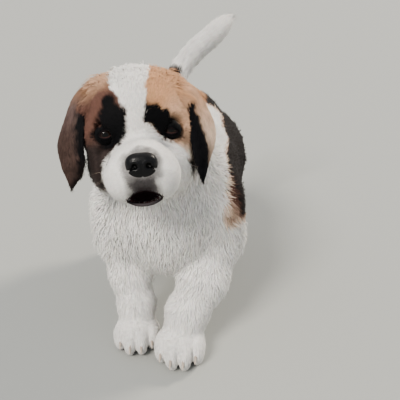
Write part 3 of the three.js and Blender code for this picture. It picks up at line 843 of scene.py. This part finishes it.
def tuft_mesh(name, root, normal, way, length, width, lift, colour, patch):
    """Closed tufts: a sunk root, a three-sided belly at two fifths of the length and a drooping tip."""
    count = len(root)
    side = unit(np.cross(way, normal))
    rise, droop = np.sin(lift), np.sin(0.4 * lift)
    belly = root + (0.42 * length)[:, None] * (way * np.cos(lift)[:, None] + normal * rise[:, None])
    tip = root + length[:, None] * (way * np.cos(0.4 * lift)[:, None] + normal * droop[:, None])
    tip = tip + side * (length * rng.normal(0, 0.07, count))[:, None]
    half = side * (width / 2)[:, None]
    ridge = belly + normal * (0.42 * width)[:, None]
    points = np.stack([root - 0.9 * normal, belly - half, belly + half, ridge, tip], 1)
    points[..., 2] = np.maximum(points[..., 2], 0.15)
    corners = np.array([(4, 1, 3), (4, 3, 2), (4, 2, 1), (0, 3, 1), (0, 2, 3), (0, 1, 2)])
    faces = (np.arange(count)[:, None, None] * 5 + corners).reshape(-1, 3)
    # painted shade and light: each tuft darker at its sunk root, where shade falls between the tufts, and a
    # little lighter at its tip
    shade = np.array([0.88, 0.97, 0.97, 1.0, 1.02])
    colours = (colour[:, None] * shade[:, None]).reshape(-1, 3)
    spread = np.array([(0, -1.5), (-1.5, 0), (1.5, 0), (0, 0.5), (0, 1.5)]) / 1000
    uv = (patch[:, None] + spread[None]).reshape(-1, 2)[faces.ravel()]
    soft = unit(0.6 * normal[:, None] + np.array([0.0, -0.25, 0.25, 0, 0])[:, None] * side[:, None])
    soft = unit(soft + 0.3 * np.array([0.0, 0, 0, 0.6, 0.4])[:, None] * way[:, None])
    return make_mesh(name, to_frame(points.reshape(-1, 3)), faces, colours, uv, soft.reshape(-1, 3))


CELLS = 4  # the unwrap has this many islands across and up


def island(index, u, v):
    """A place in one island of the map."""
    cell = np.array([index % CELLS, index // CELLS])
    return (cell + 0.04 + 0.92 * np.stack([u, v], 1)) / CELLS


def unwrap(p, share):
    """Each region of the skin opened out round its own axis into its own island of the map."""
    region = share.argmax(1)
    lines = [
        (from_head((0, 80, 0)), from_head((0, -62, -30))),
        ((0, 60, 170), (-22, -22, 268)),
        ((0, -60, middle), (BEND, 290, middle + 10)),
        *[(joints[0][:3], in_paw(paw, (0, -34, -10))) for joints, paw in legs.values()],
        ((3, 222, 214), (86, 350, 344)),
    ]
    place = np.zeros((len(p), 2))
    for index, (a, b) in enumerate(lines):
        chosen = region == index
        a, ahead = np.array(a, float), np.array(b, float) - np.array(a, float)
        reach = length_of(ahead)
        ahead = ahead / reach
        side = unit(np.cross(ahead, (0.1, 0.2, 0.97) if abs(ahead[2]) < 0.8 else (0, 1, 0)))
        up = np.cross(side, ahead)
        q = p[chosen] - a
        along = np.clip((q @ ahead) / reach, -0.15, 1.15)
        angle = np.arctan2(q @ up, q @ side) / (2 * math.pi) + 0.5
        place[chosen] = island(index, angle, (along + 0.15) / 1.3)
    return place


def tuft_colour(colour):
    """Each tuft a little lighter, darker or warmer than its neighbours."""
    spread = 0.12 - 0.07 * colour.mean(1, keepdims=True)
    tone = (1 + spread * rng.normal(0, 1, (len(colour), 1))) * (1 + rng.normal(0, 0.025, colour.shape))
    return colour * tone


def coat_width(length):
    """How wide a tuft of each length is."""
    return np.interp(length, [2.5, 5, 9, 16], [0.42, 0.52, 0.72, 1.0])


# Ears: a leaf between a front and a rear edge, as in the solids

EAR_EDGES = {
    1: (
        [
            (27, 20, 40), (39, 13, 40), (45.5, 9, 30), (47, 4, 14),
            (48, 0, -1), (51, -2, -19), (54.5, -1, -36), (60.3, 4, -52.5),
        ],
        [
            (27, 46, 36), (47, 51, 42), (63, 48, 32), (73, 42, 15),
            (78, 36, 0), (77, 29, -13), (69, 17, -32), (60.3, 4, -52.5),
        ],
    ),
    -1: (
        [
            (-27, 20, 40), (-40, 13, 41), (-47, 9, 31), (-50, 5, 15),
            (-52.5, 1, -3), (-54, 0, -20), (-58, 2, -34), (-70.5, 7, -48),
        ],
        [
            (-26, 46, 38), (-48, 50, 42), (-61, 46, 30), (-71, 39, 14),
            (-80, 31, -6), (-79, 22, -24), (-75, 13, -38), (-70.5, 7, -48),
        ],
    ),
}


def ear_grid(side, rows=60, half=22):
    """The ear's leather: share of its length by place round its section, outer face first."""
    front, rear = [smooth_curve(edge, rows) for edge in EAR_EDGES[side]]
    u = np.linspace(0, 1, rows)[:, None]
    down = unit(np.gradient(front + rear, axis=0))
    out = unit(np.cross(rear - front + 1e-4, down))
    out = out * np.where(out[:, :1] * side < 0, -1, 1)
    out[-3:] = out[-4]
    across = (np.arange(half) + 0.5) / half
    across = np.concatenate([across, across[::-1]])[None]
    face = np.concatenate([np.ones(half), -np.ones(half)])[None]
    crown = 1 - (2 * across - 1) ** 2
    fold = np.sin(3 * math.pi * across) * np.sin(math.pi * u)
    thick = EAR_LEATHER / 2 * (0.25 + 0.75 * crown) * (1 - 0.5 * u)
    lift = EAR_BULGE * crown * np.clip(np.minimum(4 * u, 4 * (1 - u)), 0, 1) + fold + face * thick - 1.2
    points = mix(front[:, None], rear[:, None], across[..., None]) + out[:, None] * lift[..., None]
    tell = np.stack(np.broadcast_arrays(u, across, face), -1)
    return from_head(points.reshape(-1, 3)), tell.reshape(-1, 3), down @ head_axes.T, (rows, 2 * half)


def ear_colour(side, tell, p):
    """Brown-grey on the right ear, tan on the left, with a dark tip; the black front edge and the dark
    inside are dark fur with painted shade.
    """
    u, across, face = tell.T
    across = across + 0.04 * ripple(p, 9)
    tip = step(u - 0.86 + 0.3 * (0.5 - across), 0.2)
    if side > 0:
        band = np.interp(u, [0, 0.16, 0.3, 0.55, 0.8, 1], [-0.2, 0.0, 0.2, 0.33, 0.5, 1.1])
        colour = mix(ORANGE, SAND, step(u - 0.1, 0.2) * 0.7)
        colour = mix(colour, CREAM, step(u - 0.45, 0.3) * 0.6)
        # black front edge: dark fur with painted shade where the edge turns in against the cheek
        colour = mix(BLACK * 1.5, colour, step(across - band, 0.1))
        colour = mix(colour, BLACK * 2, step(u - 0.74 + 0.25 * (0.5 - across), 0.2))
    else:
        colour = mix(mix(ORANGE * 0.8, BROWN, 0.35), linear("#6f5b56"), step(u - 0.2, 0.16))
        colour = mix(colour, linear("#43342f"), step(u - 0.38, 0.3) * 0.95)
        # black front edge: dark fur with painted shade where the edge turns in against the cheek
        colour = mix(BLACK * 1.5, colour, step(across - 0.17 * ramp(u - 0.16, 0.1), 0.12))
        colour = mix(colour, DARK, tip)
    colour = colour * (0.92 + 0.14 * ripple(p, 15))[:, None]
    # the inner face: dark fur with painted shade
    return mix(DARK * 0.9, colour, step(face, 0.5))


def mesh_normals(points, faces):
    """Outward unit normals at the points of a closed mesh whose faces may wind either way."""
    a, b, c, d = points[faces].transpose(1, 0, 2)
    across = np.cross(c - a, d - b)
    total = np.zeros_like(points)
    for corner in range(4):
        np.add.at(total, faces[:, corner], across)
    middle_point = (a + b + c + d) / 4
    volume = (middle_point * across).sum()
    return unit(total if volume > 0 else -total)


def build_ear(side):
    """The leather of an ear and the tufts on it."""
    name = SIDE_NAMES[side]
    points, tell, down, shape = ear_grid(side)
    faces = grid_faces(*shape)
    normal = mesh_normals(points, faces)
    colour = ear_colour(side, tell, points)
    # painted shade: the leather under the tufts is 0.8 of the coat's colour
    leather = make_mesh(f"ear_{name}_leather", to_frame(points), faces, colour * 0.8)
    give(leather, skin_material, "dark_coat", f"ear_{name}")
    way = np.repeat(down, shape[1], axis=0)
    thin_edge = 1 - 0.3 * np.abs(2 * tell[:, 1] - 1)
    at = scatter(points, faces, np.where(tell[:, 2] > 0, 1.0, 0.45) * thin_edge, EAR_TUFTS)
    root, turned, there = at(points), unit(at(normal)), at(tell)
    way = at(way) + rng.normal(0, 0.14, root.shape) + 0.15 * np.stack([ripple(root, 15)] * 3, 1)
    way = unit(way - (way * turned).sum(1, keepdims=True) * turned)
    length = np.interp(there[:, 0], [0, 0.2, 0.7, 1], [9, 8.5, 7, 5.5]) * rng.uniform(0.75, 1.25, len(root))
    length = length * np.where(there[:, 2] > 0, 1, 0.7)
    lift = np.radians(13) * rng.uniform(0.5, 1.6, len(root))
    tint = tuft_colour(ear_colour(side, columns(there[:, 0], there[:, 1], np.sign(there[:, 2])), root))
    patch = island(9 if side > 0 else 10, (there[:, 1] + (there[:, 2] < 0)) / 2, there[:, 0])
    tufts = tuft_mesh(f"ear_{name}_coat", root, turned, way, length, coat_width(length), lift, tint, patch)
    give(tufts, fur_material, "dark_coat")


# Eyes and lids


def eye_axes(side):
    """The way the eye looks, and its own right and up."""
    gaze = unit(np.array([side * 0.05, -1, 0.02]))
    up = unit(np.array([0, 0, 1.0]) - gaze * gaze[2])
    return gaze, np.cross(up, gaze), up


def polar(centre, axes, angle, around, radius):
    """Points at an angle from the gaze, at an angle around it and at a distance from the centre."""
    gaze, right, up = axes
    sideways = np.cos(around)[..., None] * right + np.sin(around)[..., None] * up
    way = np.cos(angle)[..., None] * gaze + np.sin(angle)[..., None] * sideways
    return centre + radius[..., None] * way


def build_eye(side):
    """An eyeball by angle from its gaze: pupil, iris with fine rays, dark rim, and the cornea's bulge."""
    angle, around = round_grid(0.004, 3.13, 72, 64)
    bulge = 0.5 * np.clip(1 - (angle / 0.66) ** 2, 0, 1)
    points = polar(eye_centre(side), eye_axes(side), angle, around, EYE_RADIUS - 0.1 + bulge)
    rays = 0.8 + 0.25 * np.sin(31 * around + 3 * np.sin(5 * around))
    iris = linear("#1c120c") * rays.ravel()[:, None]
    out = (np.sin(angle) * EYE_RADIUS).ravel()
    colour = mix(np.array([0.002] * 3), iris, step(out - 2.7, 0.6))
    colour = mix(colour, np.array([0.004, 0.003, 0.003]), step(out - 5.0, 0.7))
    colour = mix(colour, linear("#4d423f"), step(out - 6.6, 0.8) + (angle.ravel() > 1.5)[:, None])
    name = SIDE_NAMES[side]
    points = to_frame(from_head(points.reshape(-1, 3)))
    ball = make_mesh(f"eyeball_{name}", points, grid_faces(72, 64), colour)
    give(ball, eye_material, "eye", f"eye_{name}")


# The lids' opening: half its width, its height above and below, and its place above the eye's middle
LID_OPENING = {1: (5.8, 1.7, 1.4, -1.3), -1: (5.3, 2.7, 2.1, 0.3)}
# How far the lids stand off the eyeball, from their margin over the fold to under the skin
LID_STATIONS = [0, 0.05, 0.14, 0.3, 0.42, 0.56, 0.8, 1]
LID_HEIGHTS = [0.2, 0.9, 1.35, 1.4, 0.9, 1.2, 0.6, -1.6]


def build_lids(side):
    """Both lids as one ring: from the eyeball over the rounded margin and the fold to under the skin."""
    wide, above, below, rise = LID_OPENING[side]
    share, turn = round_grid(0, 1, 26, 80)
    x = wide * np.cos(turn) - 0.8 * side
    z = np.where(np.sin(turn) > 0, above, below) * np.sin(turn) - 0.12 * side * x + rise
    around = np.arctan2(z, x)
    edge = np.arcsin(np.hypot(x, z) / EYE_RADIUS)
    angle = edge + (1.32 - edge) * share
    proud = np.interp(share, LID_STATIONS, LID_HEIGHTS)
    droop = 0.5 * np.clip(np.sin(turn), 0, 1) * np.clip(1 - share, 0, 1) * np.clip(share * 8, 0, 1)
    points = polar(eye_centre(side), eye_axes(side), angle, around, EYE_RADIUS + proud + droop)
    points = from_head(points.reshape(-1, 3))
    faces = grid_faces(26, 80)
    # painted shade: the lids' skin under their tufts is 0.8 of the face's colour
    skin = head_colour(points) * 0.8
    inner = np.clip(-np.sin(turn) - 0.3, 0, 1) * np.clip(1 - share / 0.06, 0, 1)
    rim = mix(LIP * 0.5, PINK * 0.2, inner.ravel()[:, None])
    colour = mix(rim, skin, step(share.ravel() - 0.13, 0.06))
    name = SIDE_NAMES[side]
    ring = make_mesh(f"lids_{name}", to_frame(points), faces, colour)
    give(ring, rim_material, "dark_coat")
    normal = unit(points - from_head(eye_centre(side)))
    at = scatter(points, faces, np.clip((share.ravel() - 0.11) * 6, 0, 1), LID_TUFTS)
    root, turned = at(points), unit(at(normal))
    middle_of_lids = from_head(eye_centre(side) + eye_axes(side)[0] * EYE_RADIUS)
    away = root - middle_of_lids + rng.normal(0, 1.2, root.shape) + np.array([0, 0, 2.5])
    away = unit(away - (away * turned).sum(1, keepdims=True) * turned)
    length = rng.uniform(1.5, 2.8, len(root))
    share_there = np.zeros((len(root), len(REGIONS)))
    share_there[:, 0] = 1
    lift = np.radians(rng.uniform(6, 16, len(root)))
    tint = tuft_colour(head_colour(root))
    patch = unwrap(root, share_there)
    tufts = tuft_mesh(f"lid_{name}_coat", root, turned, away, length, 0.14 * length, lift, tint, patch)
    give(tufts, fur_material, "dark_coat")


# Nose, lips, whiskers, claws and pads


def build_nose():
    """The nose leather: a rounded block with a hole and a slit for each nostril and a groove between.

    Each of these is a smooth hump of the distance to its own middle or line, and adds to the depth.
    """
    ball = unit_ball(1.56, 110, 150)
    block = np.sign(ball) * np.abs(ball) ** 0.8
    x = block[:, 0] * (1 + 0.14 * ball[:, 2]) * NOSE_WIDTH / 2
    y = block[:, 1] * 9
    z = block[:, 2] * NOSE_HEIGHT / 2 - 0.8 * ball[:, 0] ** 2
    side = np.abs(x)
    hole = np.exp(-(((side - 5.9) / 2.3) ** 2 + ((z - 0.4) / 2.1) ** 2) ** 1.5)
    along = ramp(side - 6.5, 5.5)
    slit = np.exp(-(((z + 0.2 + 3.4 * along) / 1.05) ** 2) ** 1.3)
    slit = slit * np.exp(-(np.maximum(side - 12, 0) / 0.8) ** 2)
    slit = slit * ramp(side - 5, 2)
    rim = np.exp(-((((side - 6.2) / 4.4) ** 2 + ((z - 0.8) / 4.2) ** 2 - 1) / 0.5) ** 2)
    groove = np.exp(-((x / 0.7) ** 2)) * ramp(2.5 - z, 3)
    ahead = np.clip(-ball[:, 1] * 2.5, 0, 1)
    pit = np.maximum(3.4 * hole, 2.4 * slit)
    y = y + ahead * (pit - 0.25 * rim + 0.9 * groove)
    inside = np.clip(np.maximum(hole, slit * 0.9), 0, 1) * ahead
    # painted shade: the nostrils' hollows darker than the rest of the leather
    tone = mix(linear("#070709"), linear("#010101"), inside[:, None])
    # painted highlight: the top of the leather a little lighter
    tone = mix(tone, linear("#1d1b1b"), step(ball[:, 2] - 0.72, 0.3) * 0.6)
    place = columns(x, y, z) + NOSE_CENTRE
    nose = make_mesh("nose_leather", to_frame(from_head(place)), grid_faces(110, 150), tone)
    give(nose, nose_material, "nose_leather", "nose")


def tube(path, radius, sides=10):
    """A closed path with a round section, radius given at each point."""
    ahead = unit(np.roll(path, -1, 0) - np.roll(path, 1, 0))
    out = unit(np.cross(ahead, np.array([0, 1.0, 0.2])))
    up = np.cross(out, ahead)
    angle = np.linspace(0, 2 * math.pi, sides, False)
    ring = out[:, None] * np.cos(angle)[:, None] + up[:, None] * np.sin(angle)[:, None]
    points = path[:, None] + radius[:, None, None] * ring
    return np.concatenate([points, points[:1]])


def build_lips():
    """The dark edge of the parted lips, laid on the face round the mouth's opening."""
    turn = np.linspace(0, 2 * math.pi, 96, False)
    x = (MOUTH_CORNER - 0.3) * np.cos(turn)
    z = MOUTH_MIDDLE - MOUTH_ARCH * (x / MOUTH_CORNER) ** 2 + 7.8 * np.sin(turn)
    start = columns(x, -14.0, z)
    muzzle_skin = blend(3, face, jaw)
    low, high = np.zeros(len(x)), np.full(len(x), 60.0)
    for _ in range(24):
        half = (low + high) / 2
        inside = muzzle_skin(start + half[:, None] * np.array([0, -1.0, 0])) < -1.2
        low, high = np.where(inside, half, low), np.where(inside, high, half)
    path = start + low[:, None] * np.array([0, -1.0, 0])
    radius = 1.0 + 0.5 * np.clip(-np.sin(turn), 0, 1)
    points = tube(path, radius)
    lower = np.repeat(np.clip(-np.sin(np.append(turn, 0)), 0, 1), 10)
    colour = mix(LIP, GREY, lower[:, None])
    lips = make_mesh("lips", to_frame(from_head(points.reshape(-1, 3))), grid_faces(97, 10), colour)
    give(lips, rim_material, "dark_coat")


def build_whiskers():
    """Long single hairs on both sides of the muzzle, and a few at the chin."""
    root, way = [], []
    for side in (-1, 1):
        for row, height in enumerate((-30, -36, -42)):
            for k in range(2):
                root.append((side * (24 + 3 * k), -50 + 10 * k + 2 * row, height + 3 * k))
                way.append((side, -0.3 + 0.35 * k + 0.1 * row, -0.45 - 0.4 * row + 0.25 * k))
        root.append((side * 8, -44, -63))
        way.append((side * 0.3, -0.4, -1))
    start = np.array(root, float)
    centre = np.array([0, -30.0, -34])
    out = unit(start - centre)
    far = np.full(len(start), 10.0)
    for _ in range(20):
        far = far - 0.8 * (blend(3, face, jaw)(centre + out * far[:, None]) + 1)
    normal = out @ head_axes.T
    way = unit(np.array(way)) @ head_axes.T
    length = rng.uniform(15, 25, len(start))
    width = np.full(len(start), 0.08)
    patch = island(11, rng.random(len(start)), rng.random(len(start)))
    colour = np.repeat(CREAM[None], len(start), 0)
    lift = np.radians(rng.uniform(4, 12, len(start)))
    points = from_head(centre + out * far[:, None])
    hairs = tuft_mesh("whiskers", points, normal, way, length, width, lift, colour, patch)
    give(hairs, fur_material, "white_coat")


def build_claws():
    """Curved tapering claws, one at the front of each toe."""
    u, turn = round_grid(0, 1, 18, 14)
    parts, tones, nodes = [], [], []
    for leg, (joints, paw) in legs.items():
        paw_name = leg.replace("leg", "paw")
        for toe, (across, ahead) in enumerate(zip(TOE_SPREAD, TOE_REACH)):
            radius = 2.5 * np.sqrt(np.clip(1 - u**1.6, 0, 1)) + 0.02
            x = across * PAW_WIDTH + radius * 0.72 * np.cos(turn)
            y = -(ahead + 0.14) * PAW_LENGTH - 12.6 * u
            z = -1 - 5 * u**2 + radius * np.sin(turn)
            parts.append((in_paw(paw, np.stack([x, y, z], -1).reshape(-1, 3)), grid_faces(18, 14)))
            tones.append(mix(linear("#8c7b70"), linear("#c4b6a6"), u.ravel()[:, None] * 0.8))
            nodes.append(f"claw_{paw_name}_{toe + 1}")
    points, faces = joined(parts)
    points[:, 2] = np.maximum(points[:, 2], 0.3)
    give(make_mesh("claws", to_frame(points), faces, np.concatenate(tones)), claw_material, "claw", *nodes)


def build_pads():
    """Dark pads under the paws: one behind and one under each toe."""
    ball = unit_ball(1.55, 14, 24)
    parts = []
    for joints, paw in legs.values():
        floor = -paw[0][2] / paw[2] + 3.4
        places = [((0, 5, floor), (15, 11, 3.3))]
        for across, ahead in zip(TOE_SPREAD, TOE_REACH):
            places.append(((across * PAW_WIDTH, -(ahead + 0.02) * PAW_LENGTH, floor), (6, 9, 3.3)))
        for centre, radii in places:
            parts.append((in_paw(paw, ball * radii + centre), grid_faces(14, 24)))
    points, faces = joined(parts)
    points[:, 2] = np.maximum(points[:, 2], 0.05)
    colour = np.repeat(linear("#3a3133")[None], len(points), 0)
    give(make_mesh("pads", to_frame(points), faces, colour), rim_material, "nose_leather")


# The coat of the skin

# Which regions each coat piece covers
COAT_GROUPS = {"head": [0], "neck": [1], "trunk": [2], "foreleg": [3, 4], "hindleg": [5, 6], "tail": [7]}
# How steeply the tufts of each region stand, in degrees
REGION_LIFT = np.array([12, 16, 13, 13, 13, 13, 13, 12])
STRAY_SHARE = 0.12  # of all tufts, these stand out from the rest


def build_coat():
    """Tufts over the whole skin, split by region into pieces of a size that the export allows."""
    h = to_head(skin_points)
    bare = np.minimum(mouth_gap(h) - 1, 30)
    for side in (-1, 1):
        bare = np.minimum(bare, (length_of(h - eye_centre(side)) - EYE_RADIUS - 1.2) * 2)
    nose = (length_of((h - NOSE_CENTRE) / [NOSE_WIDTH / 2, 10, NOSE_HEIGHT / 2]) - 1) * 12
    bare = np.minimum(bare, nose)
    sole = (skin_points[:, 2] < 3) & (skin_normals[:, 2] < -0.5)
    grown = ramp(bare, 2) * np.where(sole, 0.0, 1.0)
    wanted = grown / (skin_length**0.8 * coat_width(skin_length))
    at = scatter(skin_points, skin_faces, wanted, BODY_TUFTS)
    root, normal, share = at(skin_points), unit(at(skin_normals)), at(skin_share)
    place = to_head(root)
    cheek = share[:, 0] * ramp(place[:, 1], 20) * ramp(-place[:, 2], 20)
    ruffle = 1 + 0.1 * ripple(root, 24) * (1 - share[:, 7])
    length = at(skin_length[:, None])[:, 0] * rng.uniform(0.72, 1.22, len(root)) * ruffle
    crown = share[:, 0] * ramp(place[:, 2] - 38, 12)
    lift = REGION_LIFT @ share.T + 8 * cheek + 20 * crown
    stray = rng.random(len(root)) < STRAY_SHARE
    lift = np.radians(lift) * rng.uniform(0.5, 1.5, len(root)) * np.where(stray, 2.2, 1)
    way = lie(root, normal, share)
    colour = tuft_colour(markings(root, share))
    patch = unwrap(root, share)
    region = share.argmax(1)
    for name, members in COAT_GROUPS.items():
        chosen = np.flatnonzero(np.isin(region, members))
        for part, some in enumerate(np.array_split(chosen, 1 + len(chosen) // TUFTS_IN_A_PIECE)):
            width = coat_width(length[some])
            tufts = tuft_mesh(
                f"coat_{name}_{part + 1}", root[some], normal[some], way[some], length[some],
                width, lift[some], colour[some], patch[some],
            )
            give(tufts, fur_material, "dark_coat" if name == "trunk" else "white_coat")


def show_skin():
    """The skin as a shown piece: the markings darkened a little as painted shade under the coat, and dark
    red-brown inside the mouth, the mouth's flesh with painted shade.
    """
    # painted shade: the skin under the coat is 0.92 of the coat's colour
    colour = markings(skin_points, skin_share) * 0.92
    # painted shade: the mouth's inside is dark red-brown
    inside = mouth_gap(to_head(skin_points)) < 3
    colour[inside] = linear("#3a2325")
    skin = make_mesh("skin", to_frame(skin_points), skin_faces, colour)
    parts = ["head", "lower_jaw", "neck", "torso", "tail_base", "tail_end", *legs]
    give(skin, skin_material, "white_coat", *parts, *[leg.replace("leg", "paw") for leg in legs])


show_skin()
build_coat()
for hand in (-1, 1):
    build_ear(hand)
    build_eye(hand)
    build_lids(hand)
build_nose()
build_lips()
build_whiskers()
build_claws()
build_pads()


# Floor, lights and camera


def build_floor():
    """A plain grey sheet, wide enough for every view."""
    half = 40.0
    corners = np.array([(-half, -half, 0), (half, -half, 0), (half, half, 0), (-half, half, 0)])
    floor = make_mesh("floor", corners, np.array([[0, 1, 2, 3]]))
    settings = {"Base Color": (*linear("#a2a4a0"), 1), "Roughness": 0.95}
    floor.data.materials.append(surface("matt_paper", settings))


def add_light(name, way, strength, spread, sheet):
    """A soft light from far away that shines along the given direction."""
    data = bpy.data.lights.new(name, "SUN")
    data.energy, data.angle, data.color = strength, math.radians(spread), tuple(linear(sheet))
    light = bpy.data.objects.new(name, data)
    light.rotation_euler = Vector(way).to_track_quat("-Z", "Y").to_euler()
    bpy.context.scene.collection.objects.link(light)


CAMERA_PLACE = np.array([38.0, -550, 400])
CAMERA_DROP = 22.9  # degrees that it looks down
CAMERA_LENS = 46.8


def build_camera():
    """The photo's view: from just ahead and above, looking down on the puppy."""
    data = bpy.data.cameras.new("camera")
    data.lens = CAMERA_LENS
    data.sensor_width = 36
    camera = bpy.data.objects.new("camera", data)
    camera.location = to_frame(CAMERA_PLACE)
    camera.rotation_euler = (math.radians(90 - CAMERA_DROP), 0, 0)
    bpy.context.scene.collection.objects.link(camera)
    bpy.context.scene.camera = camera


build_floor()
add_light("key", (0.5, 0.8, -0.85), 4.4, 20, "#fff8ee")
add_light("rim", (-0.85, -0.7, -0.75), 3.6, 12, "#fff3e2")
world = bpy.data.worlds.new("studio")
world.use_nodes = True
world.node_tree.nodes["Background"].inputs["Color"].default_value = (0.8, 0.84, 0.9, 1)
world.node_tree.nodes["Background"].inputs["Strength"].default_value = 0.8
bpy.context.scene.world = world
build_camera()
